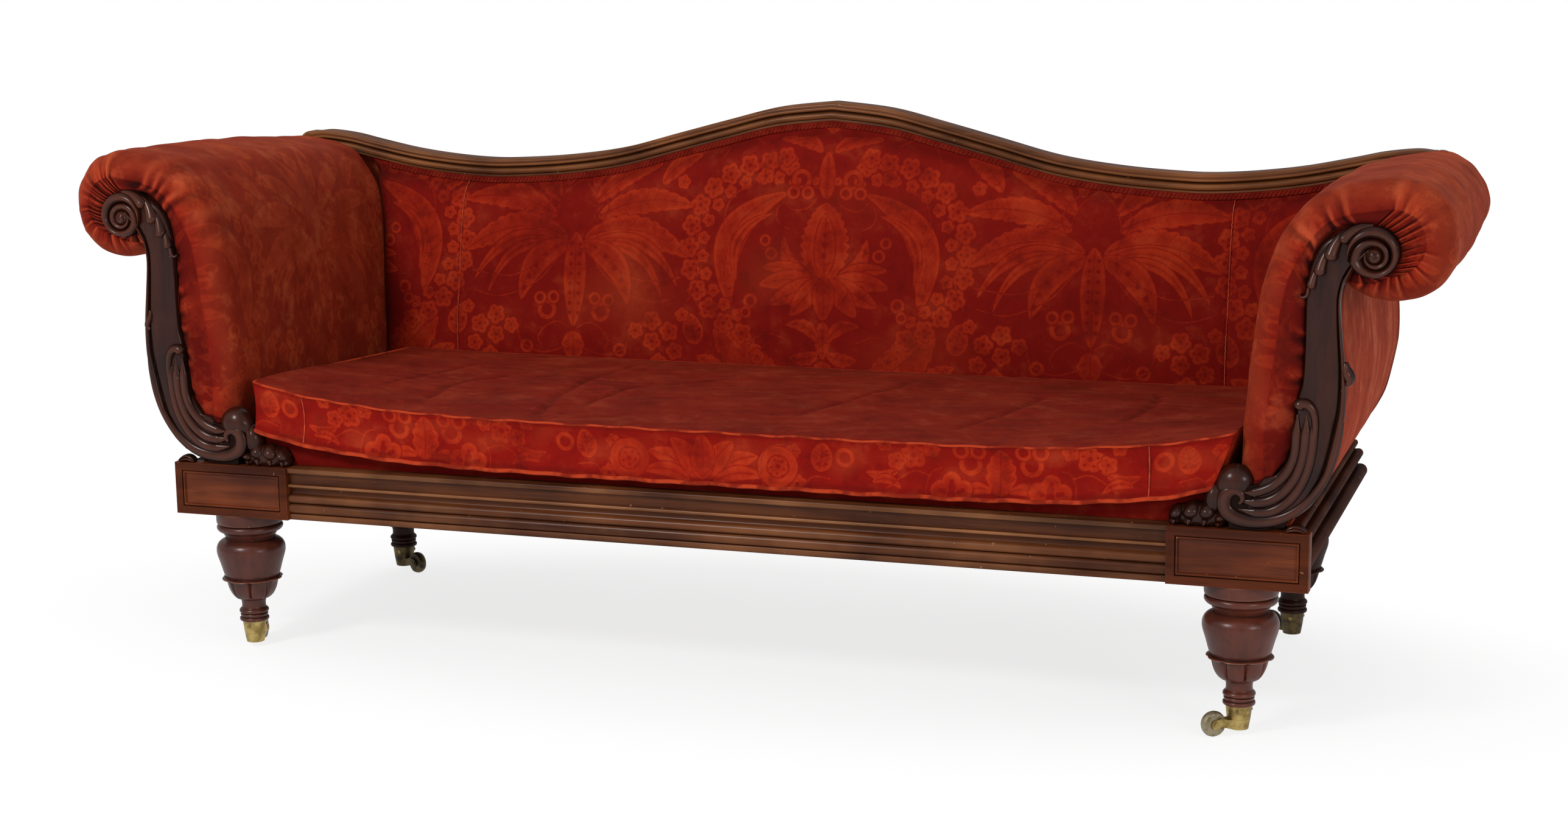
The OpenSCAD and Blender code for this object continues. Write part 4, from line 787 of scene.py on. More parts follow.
def facing_volute(side, s):
    """A disc seen from the front: rays from the eye at a clockwise angle, cut at the
    round rim. A groove winds in by the radii in the table; between its turns, and out to
    the rim, lie half-round rolls, and the eye is a small dome."""
    eye, centre = np.array([0.9882, 0.7078]), np.array([0.9868, 0.7142])
    rim_r, eye_r = 0.0362, 0.0112
    rows, columns = 64, 160
    turn = np.linspace(0, 1, columns, endpoint=False)
    ray = np.stack([np.sin(turn * 2 * math.pi), np.cos(turn * 2 * math.pi)], -1)
    off = centre - eye
    reach = ray @ off + np.sqrt((ray @ off) ** 2 - off @ off + rim_r ** 2)
    share = np.concatenate([[0.02], np.linspace(0.06, 1, rows - 1)])
    radius = share[:, None] * reach[None]
    wound = np.array([[-1.2, 0.0620], [-0.5, 0.0430], [-0.25, 0.0335], [0, 0.0250], [0.5, 0.0185],
        [1, 0.0125], [1.25, 0.0110], [2.6, 0.0]])
    k = np.floor(np.interp(radius, wound[::-1, 1], wound[::-1, 0]) - turn[None])
    outside = np.minimum(np.interp(k + turn[None], wound[:, 0], wound[:, 1]), reach[None])
    inside = np.interp(k + 1 + turn[None], wound[:, 0], wound[:, 1])
    d = (radius - inside) / np.maximum(outside - inside, 1e-5)
    roll = np.sqrt(np.clip(1 - np.abs(2 * d - 1) ** 1.9, 0, 1))
    dome = np.sqrt(np.clip(1 - (radius / eye_r) ** 2, 0, 1))
    tall = np.interp(radius, [0, 0.012, 0.020, 0.032], [0.0046, 0.0056, 0.0084, 0.0128])
    y = FIELD_Y + 0.0020 - np.where(radius < eye_r, dome * 0.0100, roll * tall)
    # Roll tops lighter, partly rubbing and partly painted highlight; the groove darker, partly grime and
    # partly painted shade
    edge = np.clip(roll * 2.2 - 1.35, -1, 1)
    front = np.stack([eye[0] + radius * ray[:, 0], y, eye[1] + radius * ray[:, 1]], -1)
    back = front[-1:].copy()
    back[..., 1] = POST_Y
    swept(f"facing_volute_{side}", np.concatenate([front, back]), CARVED_WOOD,
        values={"edge": np.concatenate([edge, edge[-1:] * 0 - 0.3])}, mirror=s, sharp=50)


def round_tip(t, start, least=0.0):
    """1 along a carving, and falling to a round end from that share of its length."""
    return np.sqrt(np.clip(1 - np.clip((t - start) / (1 - start), 0, 1) ** 2.2, least, 1))


def facing_leaf(side, s):
    """Acanthus over the shoulder: overlapping lobes, each a bent blade that swells to a
    round tip, the higher ones over the lower, and a small curl at the foot."""
    t = np.linspace(0, 1, 30)
    lobes = (("root", (0.9860, 0.7500), (0.9620, 0.7510), (0.9430, 0.7262), 0.0100, 0.0162),
        ("crown", (0.9520, 0.7430), (0.9350, 0.7310), (0.9286, 0.7005), 0.0118, 0.0155),
        ("wide", (0.9310, 0.7220), (0.9185, 0.7080), (0.9146, 0.6790), 0.0100, 0.0138),
        ("small", (0.9150, 0.6960), (0.9075, 0.6830), (0.9038, 0.6605), 0.0076, 0.0110))
    for name, root, pull, tip, width, height in lobes:
        swell = (0.22 + 0.78 * t ** 0.9) * round_tip(t, 0.84)
        carved(f"facing_leaf_{name}", bend(root, pull, tip, 30), width * swell + 0.0002,
            height * swell * (0.55 + 0.45 * t) + 0.0004, side, s, base=FIELD_Y + 0.0008)
    line = curve([(0.9010, 0.666), (0.9000, 0.656), (0.8975, 0.6505), (0.8925, 0.6490),
        (0.8890, 0.6520)], 7)
    t = np.linspace(0, 1, len(line))
    carved("facing_leaf_curl", line, 0.0036 * (1 - 0.5 * t) * np.clip(t * 6, 0.5, 1),
        0.0060 * (1 - 0.3 * t), side, s, base=FIELD_Y + 0.0005)


def facing_scroll(side, s):
    """The reeded scroll inside the shaft's foot: a budded hook at its head, three reeds and the
    shaft's own roll running down and round, and the foot's volute where they end."""
    hook = curve([(0.9150, 0.452), (0.9152, 0.472), (0.9120, 0.489), (0.9040, 0.4985),
        (0.8950, 0.4990), (0.8895, 0.4925)], 8)
    t = np.linspace(0, 1, len(hook))
    tip = round_tip(t, 0.86, 0.02)
    carved("scroll_hook", hook, (0.0046 + 0.0050 * t) * tip, (0.0056 + 0.0060 * t) * tip, side, s)
    reeds = (("inner", [(0.8905, 0.484), (0.8895, 0.455), (0.8885, 0.434), (0.8850, 0.4170),
            (0.8770, 0.4000), (0.8640, 0.3850), (0.8500, 0.3755), (0.8320, 0.3690), (0.8180, 0.3680)],
            0.0072, 0.0062),
        ("middle", [(0.9030, 0.484), (0.9020, 0.455), (0.9000, 0.4300), (0.8945, 0.4070),
            (0.8850, 0.3870), (0.8700, 0.3690), (0.8520, 0.3580), (0.8320, 0.3545), (0.8130, 0.3570)],
            0.0078, 0.0062),
        ("outer", [(0.9135, 0.484), (0.9130, 0.455), (0.9105, 0.4280), (0.9045, 0.4010),
            (0.8930, 0.3760), (0.8770, 0.3560), (0.8560, 0.3430), (0.8330, 0.3405), (0.8110, 0.3440)],
            0.0074, 0.0056))
    for name, points, width, height in reeds:
        line = curve(points, 9)
        t = np.linspace(0, 1, len(line))
        grow = np.clip(t * 9, 0.3, 1) * np.clip((1 - t) * 8, 0.25, 1)
        carved(f"scroll_reed_{name}", line, width * grow, height * grow, side, s)
    # The shaft's outer roll, broad at the foot, wound up round the foot's volute
    roll = curve([(0.9520, 0.520), (0.9515, 0.4900), (0.9480, 0.4550), (0.9410, 0.4220), (0.9280, 0.3900),
        (0.9080, 0.3610), (0.8840, 0.3405), (0.8600, 0.3300), (0.8350, 0.3265), (0.8120, 0.3290),
        (0.7960, 0.3380), (0.7900, 0.3510), (0.7930, 0.3640), (0.8035, 0.3705), (0.8130, 0.3670),
        (0.8165, 0.3590), (0.8120, 0.3525)], 8)
    t = np.linspace(0, 1, len(roll))
    width = np.interp(t, [0, 0.12, 0.4, 0.62, 0.75, 0.86, 1],
        [0.0015, 0.0040, 0.0078, 0.0108, 0.0098, 0.0065, 0.0030])
    height = np.interp(t, [0, 0.1, 0.5, 0.7, 1], [0.001, 0.0048, 0.0050, 0.0058, 0.0050])
    carved("scroll_roll", roll, width, height, side, s)
    # Web behind the reeds, down to the die, darkened all over by its low edge value: painted shade behind
    # the reeds, with grime
    inner = curve([(0.886, 0.476), (0.8850, 0.440), (0.8760, 0.412), (0.8560, 0.388),
        (0.8250, 0.378), (0.797, 0.372)], 10)
    outer = curve([(0.930, 0.476), (0.926, 0.430), (0.913, 0.385), (0.888, 0.3530),
        (0.8500, 0.3160), (0.7975, 0.3148)], 10)
    m = len(inner)
    rings = np.stack([inner, outer, outer, inner], 1)
    depth = np.array([FIELD_Y + 0.0006, FIELD_Y + 0.0006, POST_Y, POST_Y])
    points = np.stack([rings[..., 0], np.broadcast_to(depth, (m, 4)), rings[..., 1]], -1)
    swept(f"scroll_web_{side}", points, CARVED_WOOD, values={"edge": np.full(4 * m, -0.8)},
        mirror=s, sharp=30)
    leaf = curve([(0.8780, 0.3155), (0.8860, 0.3195), (0.8960, 0.3200), (0.9060, 0.3155)], 7)
    t = np.linspace(0, 1, len(leaf))
    carved("scroll_foot_leaf", leaf, 0.0056 * np.sin(math.pi * (0.12 + 0.76 * t)), 0.0060, side, s,
        cut=LEAF_CUT, base=FIELD_Y + 0.002)


def blob(name, centre, size, side, s, shape=None):
    """A rounded lump: an ellipsoid whose points a shape rule may move, back to the post."""
    rows, columns = 40, 56
    v = np.linspace(0.02, math.pi - 0.02, rows)[:, None]
    u = np.linspace(0, 2 * math.pi, columns, endpoint=False)[None]
    unit = np.stack([np.sin(v) * np.cos(u), np.sin(v) * np.sin(u), np.cos(v) + 0 * u], -1)
    p = np.array(centre) + unit * np.array(size)
    if shape:
        p = shape(p, unit)
    p[..., 1] = np.minimum(p[..., 1], POST_Y)
    # Lighter towards the front and top, partly rubbing and partly painted highlight; darker behind and
    # below, partly grime and partly painted shade
    edge = np.clip(-unit[..., 1] * 0.9 + unit[..., 2] * 0.3 - 0.35, -1, 1)
    return swept(f"{name}_{side}", p, CARVED_WOOD, values={"edge": edge}, mirror=s, sharp=60)


def paw(side, s):
    """The hip above the foot's volute, an ankle and a pad below it, and four toes with a
    knuckle each and a claw that reaches the die. Each toe: place, top, half width and
    how far it stands back."""
    toes = ((0.7835, 0.3370, 0.0108, 0.0030), (0.7645, 0.3500, 0.0138, 0.0),
        (0.7420, 0.3490, 0.0142, 0.0002), (0.7205, 0.3430, 0.0116, 0.0015))

    def hip(p, unit):
        p[..., 2] += -0.006 * np.clip(-unit[..., 0], 0, 1) ** 2
        return p

    def heel(p, unit):
        p[..., 0] += -0.006 * unit[..., 2] ** 2 * np.sign(-unit[..., 2])
        p[..., 1] += 0.0016 * hump(unit[..., 0], 0.1, 0.18)
        return p

    blob("foot_hip", (0.8035, -0.3290, 0.3800), (0.0290, 0.0235, 0.0262), side, s, hip)
    body = blob("paw_ankle", (0.7745, -0.3270, 0.3545), (0.0158, 0.0205, 0.0255), side, s, heel)
    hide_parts(f"arm_paw_{side}")
    blob("paw_pad", (0.7530, -0.3270, 0.3270), (0.0400, 0.0180, 0.0205), side, s)
    for k, (x, top, wide, out) in enumerate(toes):
        high = top - RAIL_TOP

        def toe(p, unit, x=x, high=high, wide=wide):
            z = (p[..., 2] - RAIL_TOP) / high
            p[..., 0] += (z - 0.45) * 0.006
            p[..., 1] += (-0.0030 * hump(z, 0.62, 0.2) + 0.0022 * hump(z, 0.30, 0.12)
                - 0.002 * hump(z, 0.05, 0.2))
            p[..., 2] = np.maximum(p[..., 2], RAIL_TOP + 0.0003)
            return p
        blob(f"paw_toe_{k}", (x, -0.3300 + out, RAIL_TOP + high * 0.46),
            (wide, 0.0175, high * 0.56), side, s, toe)
        claw = curve([(x - 0.001, RAIL_TOP + high * 0.30), (x - 0.002, RAIL_TOP + high * 0.16),
            (x - 0.0035, RAIL_TOP + 0.0025)], 7)
        u = np.linspace(0, 1, len(claw))
        carved(f"paw_claw_{k}", claw, wide * 0.34 * (1 - 0.75 * u) + 0.0004,
            0.0052 * (1 - 0.4 * u), side, s, base=-0.3445 + out)


# Damask of the velvet, in millimetres: half its repeat across, where it starts and its repeat
# upwards, how far its middle lies from the sofa's, and the step between its woven points
HALF_REPEAT = 465
REPEAT_FOOT = 405
REPEAT_UP = 440
MIDDLE = 10
WOVEN_STEP = 1.25
OFF = 40.0


def leaf(u, v, base, tip, half, bow, teeth, veins):
    """A leaf from base to tip: signed distance to its edge, and to its drawn lines. Its
    axis bows by a share of its length, its half width swells as a sine, and teeth notch it."""
    ax, ay = tip[0] - base[0], tip[1] - base[1]
    size = math.hypot(ax, ay)
    t = ((u - base[0]) * ax + (v - base[1]) * ay) / size ** 2
    w = ((v - base[1]) * ax - (u - base[0]) * ay) / size
    inside = np.clip(t, 0, 1)
    w = w - bow * size * 4 * inside * (1 - inside)
    room = half * np.sin(math.pi * inside ** 0.85) ** 0.6
    if teeth:
        notch = np.abs(np.cos(math.pi * teeth * (inside - 0.12 * np.abs(w) / half)))
        room = room * (0.84 + 0.16 * notch)
    edge = np.maximum(np.abs(w) - room, size * np.maximum(-t, t - 1))
    lines = np.abs(w) - 1.0
    if veins:
        slant = (inside - 0.55 * np.abs(w) / size) * veins
        rib = (np.abs(slant - np.round(slant)) * size / veins - 0.9)
        lines = np.minimum(lines, np.maximum(rib, room * 0.2 - np.abs(w)))
    return edge, np.maximum(lines, edge + 2.4)


def flower(u, v, centre, radius):
    """A flower: its edge is a circle with five petals, its lines a heart with a dot round
    it in each petal. It is turned by its place across."""
    petals = 5
    x, y = u - centre[0], v - centre[1]
    r, a = np.hypot(x, y), np.arctan2(y, x) + centre[0] * 0.37
    lobe = np.abs(np.cos(petals * a / 2))
    edge = r - radius * (0.70 + 0.30 * lobe ** 0.7)
    heart = r - radius * 0.20
    seeds = np.hypot(r - radius * 0.55, (1 - lobe) * radius * 0.9) - radius * 0.11
    return edge, np.minimum(heart, seeds)


def loop(u, v, centre, radius):
    """A ring: the distance from its circle less half its breadth."""
    return np.abs(np.hypot(u - centre[0], v - centre[1]) - radius) - radius * 0.26


def stroke(u, v, points):
    """A thin drawn line: the distance to the nearest stretch of its curve, less half its
    breadth."""
    width = 2.0
    line = curve(points, 4)
    near = np.full(u.shape, OFF)
    for (x0, y0), (x1, y1) in zip(line, line[1:]):
        ax, ay = x1 - x0, y1 - y0
        t = np.clip(((u - x0) * ax + (v - y0) * ay) / (ax * ax + ay * ay + 1e-9), 0, 1)
        near = np.minimum(near, np.hypot(u - x0 - t * ax, v - y0 - t * ay))
    return near - width / 2


# The pattern's mirrored columns. Leaves: base, tip, half width, bow, teeth and veins;
# flowers, loops and dots: centre and radius; strokes: the points of a line
GARLAND = [((100 + r * math.cos(a), 652 + r * math.sin(a)), size)
    for r, size, start in ((150, 19, -72), (124, 12, -64))
    for a in np.radians(np.arange(start, 112, 14.5))]
LOTUS = {"leaves": [((172, 560), (70, 752), 27, -0.24, 0, 12), ((160, 600), (96, 716), 9, -0.24, 0, 0),
        ((196, 528), (70, 428), 36, 0.08, 9, 8), ((232, 486), (246, 540), 19, 0, 0, 6),
        ((176, 420), (232, 466), 17, 0.1, 5, 5), ((0, 604), (0, 736), 44, 0, 9, 0),
        ((0, 612), (0, 716), 18, 0, 0, 6), ((26, 612), (74, 676), 13, -0.2, 4, 4),
        ((16, 600), (112, 624), 13, 0.1, 0, 0), ((14, 602), (116, 594), 16, 0.06, 0, 0),
        ((12, 604), (96, 562), 17, 0, 0, 0), ((8, 606), (58, 544), 17, 0, 0, 0),
        ((0, 608), (0, 536), 19, 0, 0, 0), ((0, 742), (0, 822), 15, 0, 0, 5),
        ((10, 822), (92, 840), 14, 0.14, 5, 5), ((0, 534), (0, 470), 15, 0, 4, 5),
        ((8, 500), (66, 528), 12, 0.2, 4, 4), ((8, 478), (60, 470), 13, -0.1, 4, 4),
        ((0, 466), (0, 410), 22, 0, 4, 4)],
    "flowers": GARLAND + [((46, 438), 16), ((76, 812), 17), ((112, 778), 15), ((118, 470), 14),
        ((20, 772), 8), ((222, 418), 15)],
    "loops": [((46, 774), 14), ((34, 752), 9), ((60, 752), 9), ((96, 648), 9), ((108, 670), 8),
        ((132, 566), 10), ((140, 546), 8)],
    "dots": [((0, 646), 5), ((0, 664), 5), ((0, 682), 4), ((226, 512), 3), ((236, 500), 3),
        ((250, 512), 3)],
    "strokes": [[(18, 744), (30, 728), (58, 722), (74, 736)],
        [(60, 500), (96, 512), (124, 500), (134, 484)], [(66, 690), (84, 700), (90, 716), (84, 730)],
        [(120, 830), (150, 842), (180, 830), (196, 806)],
        [(140, 760), (166, 748), (182, 724), (186, 690)], [(24, 560), (40, 576), (44, 590)],
        [(60, 570), (76, 584), (80, 594)]]}
SPEAR = {"leaves": [((40, 700), (222, 724), 23, 0.10, 8, 10), ((34, 726), (150, 792), 19, 0.10, 7, 7),
        ((24, 752), (72, 838), 17, 0.10, 5, 5), ((16, 664), (214, 636), 27, 0.14, 9, 10),
        ((20, 652), (196, 584), 11, 0.22, 0, 0), ((20, 646), (168, 560), 9, 0.24, 0, 0),
        ((10, 656), (104, 552), 22, 0.17, 0, 0), ((0, 672), (0, 508), 21, 0, 0, 0),
        ((0, 500), (0, 448), 22, 0, 3, 4), ((26, 446), (112, 418), 15, -0.1, 5, 5),
        ((160, 760), (226, 810), 16, 0.12, 5, 6), ((14, 440), (14, 408), 8, 0, 0, 0)],
    "flowers": [((150, 524), 18), ((182, 506), 18), ((150, 488), 17), ((192, 472), 16),
        ((120, 506), 15), ((162, 452), 16), ((206, 536), 13), ((118, 836), 15), ((150, 812), 14),
        ((0, 812), 17), ((128, 430), 12), ((200, 764), 13)],
    "loops": [((52, 536), 14), ((40, 558), 9), ((66, 556), 9), ((90, 470), 10)],
    "dots": [((8, z), 3.6) for z in range(532, 660, 17)] + [((38, 646), 4), ((58, 632), 4.5),
        ((76, 612), 5), ((90, 592), 5), ((98, 572), 4.5)],
    "strokes": [[(8, 506), (30, 516), (54, 506), (68, 486), (60, 472)],
        [(20, 470), (60, 460), (98, 474), (108, 502)],
        [(26, 640), (60, 596), (100, 570), (150, 556), (196, 566)],
        [(36, 644), (80, 612), (130, 592), (200, 600)], [(44, 700), (30, 738), (0, 764)],
        [(48, 690), (58, 720), (36, 752), (0, 776)], [(216, 560), (232, 600), (226, 640)],
        [(210, 690), (228, 676), (234, 656)]]}
BOX_SPEAR = {"leaves": [((0, 474), (0, 544), 24, 0, 4, 5), ((14, 480), (58, 470), 9, 0.2, 0, 0),
        ((206, 500), (150, 516), 8, 0.2, 0, 4), ((196, 486), (150, 478), 7, -0.2, 0, 3)],
    "flowers": [((74, 474), 33), ((132, 530), 21), ((158, 520), 15), ((104, 540), 13),
        ((176, 546), 13)],
    "loops": [((46, 520), 14), ((34, 540), 10), ((60, 540), 10)],
    "dots": [((74, 484), 6), ((62, 478), 4), ((86, 478), 4)],
    "strokes": [[(106, 500), (130, 506), (150, 496), (172, 478)],
        [(90, 512), (104, 506), (112, 488), (112, 470)]]}
BOX_LOTUS = {"leaves": [((14, 476), (88, 514), 16, 0.1, 0, 0), ((8, 476), (50, 536), 17, 0.08, 0, 0),
        ((0, 474), (0, 546), 19, 0, 0, 0), ((20, 472), (98, 482), 11, 0.12, 0, 0),
        ((186, 496), (194, 542), 17, 0, 0, 6)],
    "flowers": [((120, 500), 19), ((146, 526), 12), ((152, 476), 15)],
    "loops": [((120, 500), 25), ((226, 520), 12)],
    "dots": [((190, 520), 3), ((184, 508), 3), ((196, 508), 3)],
    "strokes": [[(100, 470), (92, 500), (104, 528), (132, 536)], [(160, 470), (176, 488), (204, 486)],
        [(4, 480), (20, 500), (24, 528)]]}


def woven(columns):
    """The pattern worked out on points a step apart, over half a repeat across and one
    up: signed distances to its figures and to its lines. Two mirrored columns alternate,
    and each figure is laid over the last with a narrow gap round it."""
    across, up = np.meshgrid(np.arange(0, HALF_REPEAT + 1.3, WOVEN_STEP),
        np.arange(REPEAT_FOOT, REPEAT_FOOT + REPEAT_UP + 1.3, WOVEN_STEP), indexing="ij")
    figure, line = np.full(up.shape, OFF), np.full(up.shape, OFF)
    for column, x in zip(columns, (across, HALF_REPEAT - across)):
        shapes = [leaf(x, up, *given) for given in column["leaves"]]
        shapes += [flower(x, up, *given) for given in column["flowers"]]
        shapes += [(loop(x, up, *given), OFF) for given in column["loops"]]
        for edge, lines in shapes:
            figure = np.minimum(np.maximum(figure, 2.4 - edge), edge)
            line = np.minimum(np.maximum(line, 2.4 - edge), lines)
        for centre, radius in column["dots"]:
            line = np.minimum(line, np.hypot(x - centre[0], up - centre[1]) - radius)
        for points in column["strokes"]:
            line = np.minimum(line, stroke(x, up, points))
    return np.clip(figure, -9, 9), np.clip(line, -9, 9)


BACK_CLOTH = woven((LOTUS, SPEAR))
BOX_CLOTH = woven((BOX_LOTUS, BOX_SPEAR))  # smaller, for the squab's low boxing


def damask(u, v, cloth=BACK_CLOTH):
    """Distances to the pattern's figures and lines at places in millimetres across and up,
    between the four nearest woven points."""
    a = np.abs((u + HALF_REPEAT + MIDDLE) % (2 * HALF_REPEAT) - HALF_REPEAT) / WOVEN_STEP
    b = (v - REPEAT_FOOT) % REPEAT_UP / WOVEN_STEP
    i = np.minimum(a.astype(int), int(HALF_REPEAT / WOVEN_STEP) - 1)
    j = np.minimum(b.astype(int), int(REPEAT_UP / WOVEN_STEP) - 1)
    a, b = a - i, b - j
    return [(m[i, j] * (1 - a) + m[i + 1, j] * a) * (1 - b)
        + (m[i, j + 1] * (1 - a) + m[i + 1, j + 1] * a) * b for m in cloth]


# Stuffed and covered pieces
def arm_inner(steps):
    """The arm's inner face in its front view, up to the top of its roll."""
    return curve([[ARM_IN_X + p[0] * (ROLL[0] - ARM_IN_X), RAIL_TOP + p[1] * ARM_H]
        for p in ARM_INNER], steps)


def pad_reach(z, y):
    """Half the width between the arms at a height and depth, where they open out."""
    line = arm_inner(6)
    x = np.interp(z, line[:, 1], line[:, 0])
    t = np.clip((y - FRONT_Y) / (ARM_BACK_Y - FRONT_Y), 0, 1)
    return x + ARM_SPLAY * np.clip(1 - (x - ARM_IN_X) / SPLAY_FADE, 0, 1) * t


def back_pad():
    """The stuffed back: across by a share of the room between the arms, up by a share of
    the way to the crest; it leans and hollows as its shares say, and its edges turn in."""
    across = np.linspace(-1, 1, 641)
    up = np.concatenate([np.linspace(0, 0.13, 8), np.linspace(0.136, 0.95, 170),
        np.linspace(0.957, 1, 10)])
    lean = curve([[0, 0], [0.3, 0.02], [0.45, 0.12], [0.6, 0.26], [0.75, 0.42], [0.86, 0.57],
        [0.93, 0.73], [0.97, 0.985], [1, 1]], 8)
    share = np.interp(up, lean[:, 0], lean[:, 1])
    y0 = PAD_FRONT_Y + (PAD_REAR_Y - PAD_FRONT_Y - 0.002) * share
    # Its width hangs on the height, and its height on the crest above each place
    z = np.full((len(up), len(across)), PAD_FOOT)
    for _ in range(4):
        x = (pad_reach(z, y0[:, None]) - 0.0012) * across
        z = PAD_FOOT + (crest_z(x) - CREST_DROP - PAD_FOOT) * up[:, None]
    room = pad_reach(z, y0[:, None]) - np.abs(x)
    tuck = 0.011 * np.exp(-room / 0.009) + 0.004 * np.exp(-room / 0.04)
    seam = hump(np.abs(x), BACK_SEAM_X, 0.0028)
    ease = np.sin(math.pi * np.clip(up, 0, 1))[:, None] ** 0.5
    puff = 0.0022 * ripple(x, z, 3, 0.24) + 0.0009 * ripple(x, z * 0.4, 4, 0.055)
    sag = 0.0030 * hump(np.abs(x), BACK_SEAM_X, 0.05) - 0.0030 * hump(x, 0, 0.35)
    y = y0[:, None] + tuck + seam * 0.0026 + (puff + sag) * ease
    y = np.minimum(y, PAD_REAR_Y - 0.0012)
    rows, columns = z.shape
    front = np.stack([x, y, z], -1).reshape(-1, 3)
    ring = rim(rows, columns)
    rear = front[ring].copy()
    rear[:, 1] = PAD_REAR_Y
    n, c = len(ring), len(front)
    k = np.arange(n)
    wall = np.stack([ring, ring[(k + 1) % n], c + (k + 1) % n, c + k], -1)
    faces = np.vstack([grid_faces(rows, columns), wall])
    figure, line = damask(x * 1000 - 12, z * 1000 + 44)
    # Painted shade where the back tucks in at the arms and in a band under the crest's braid, with a
    # random variation
    tone = -0.75 * np.exp(-room / 0.014) - 0.25 * np.exp(-room / 0.10) + 0.10 * ripple(x, z, 5, 0.2)
    tone = tone - 0.35 * hump(z - crest_z(x), -0.052, 0.012)
    wear = 0.26 * hump(x, -0.35, 0.05) * hump(z, 0.53, 0.06)
    values = {key: np.concatenate([v.ravel(), np.zeros(n)]) for key, v in
        (("figure", figure), ("line", line), ("tone", tone), ("wear", wear))}
    pad = piece("stuffed_back", np.vstack([front, rear]), faces, BACK_VELVET, slot="velvet",
        caps=[list(range(c, c + n))], values=values, sharp=70)
    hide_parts("back_pad")
    for side, s in SIDES:
        at = np.linspace(0.40, 0.725, 90)
        k = int(np.argmin(np.abs(x[90] - BACK_SEAM_X)))
        depth = np.interp(at, z[:, k], y[:, k]) - 0.0004
        path = np.stack([BACK_SEAM_X + 0.0006 * np.sin(at * 700), depth, at], -1)
        tube(f"back_seam_{side}", path, 0.0009, THREAD, 6, slot="velvet", mirror=s)


def gimp():
    """Braid under the crest: a flat band with two cords that cross in waves on it."""
    y = PAD_FRONT_Y + 0.985 * (PAD_REAR_Y - PAD_FRONT_Y - 0.002) - 0.0004
    reach, wavelength, middle = 0.848, 0.0144, -0.006
    x = np.linspace(-reach, reach, 330)
    path = np.stack([x, x * 0 + y, crest_z(x) - CREST_DROP + 0.0003], -1)
    section = rounded([(0, -0.0115), (-0.0014, -0.0115), (-0.0017, middle), (-0.0014, -0.0004),
        (0, -0.0004)], 0.0004, 3)
    band = moulding("back_gimp_band", section, path, (0, 1, 0), (0, 0, 1), GIMP, slot="gimp")
    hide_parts("back_gimp")
    x = np.linspace(-reach + 0.002, reach - 0.002, 1500)
    for k in (0, 1):
        phase = x / wavelength * 2 * math.pi + math.pi * k
        high = crest_z(x) - CREST_DROP + 0.0003 + middle + 0.0042 * np.sin(phase)
        front = y - 0.0019 - 0.0006 * np.cos(phase)
        tube(f"back_gimp_cord_{k}", np.stack([x, front, high], -1), 0.0011, GIMP, 5, slot="gimp")


# Creases in the squab's top, each a line of places from the front backwards
CREASES = ([(-0.500, -0.275), (-0.519, -0.128), (-0.493, -0.055), (-0.45, 0.02)],
    [(-0.290, -0.32), (-0.318, -0.121), (-0.312, 0.079), (-0.260, 0.19)],
    [(-0.253, -0.256), (-0.228, -0.080), (-0.165, -0.014), (-0.101, 0.052), (-0.03, 0.10)],
    [(-0.62, -0.20), (-0.60, -0.06), (-0.56, 0.10)], [(0.10, -0.22), (0.16, -0.06), (0.20, 0.12)],
    [(0.36, -0.26), (0.42, -0.10), (0.44, 0.06)], [(0.60, -0.20), (0.62, -0.02), (0.60, 0.14)])


def end_fade(depth):
    """How much of the squab's end rise is left at a share of its depth."""
    return 1 - 0.92 * depth * depth * (3 - 2 * depth)


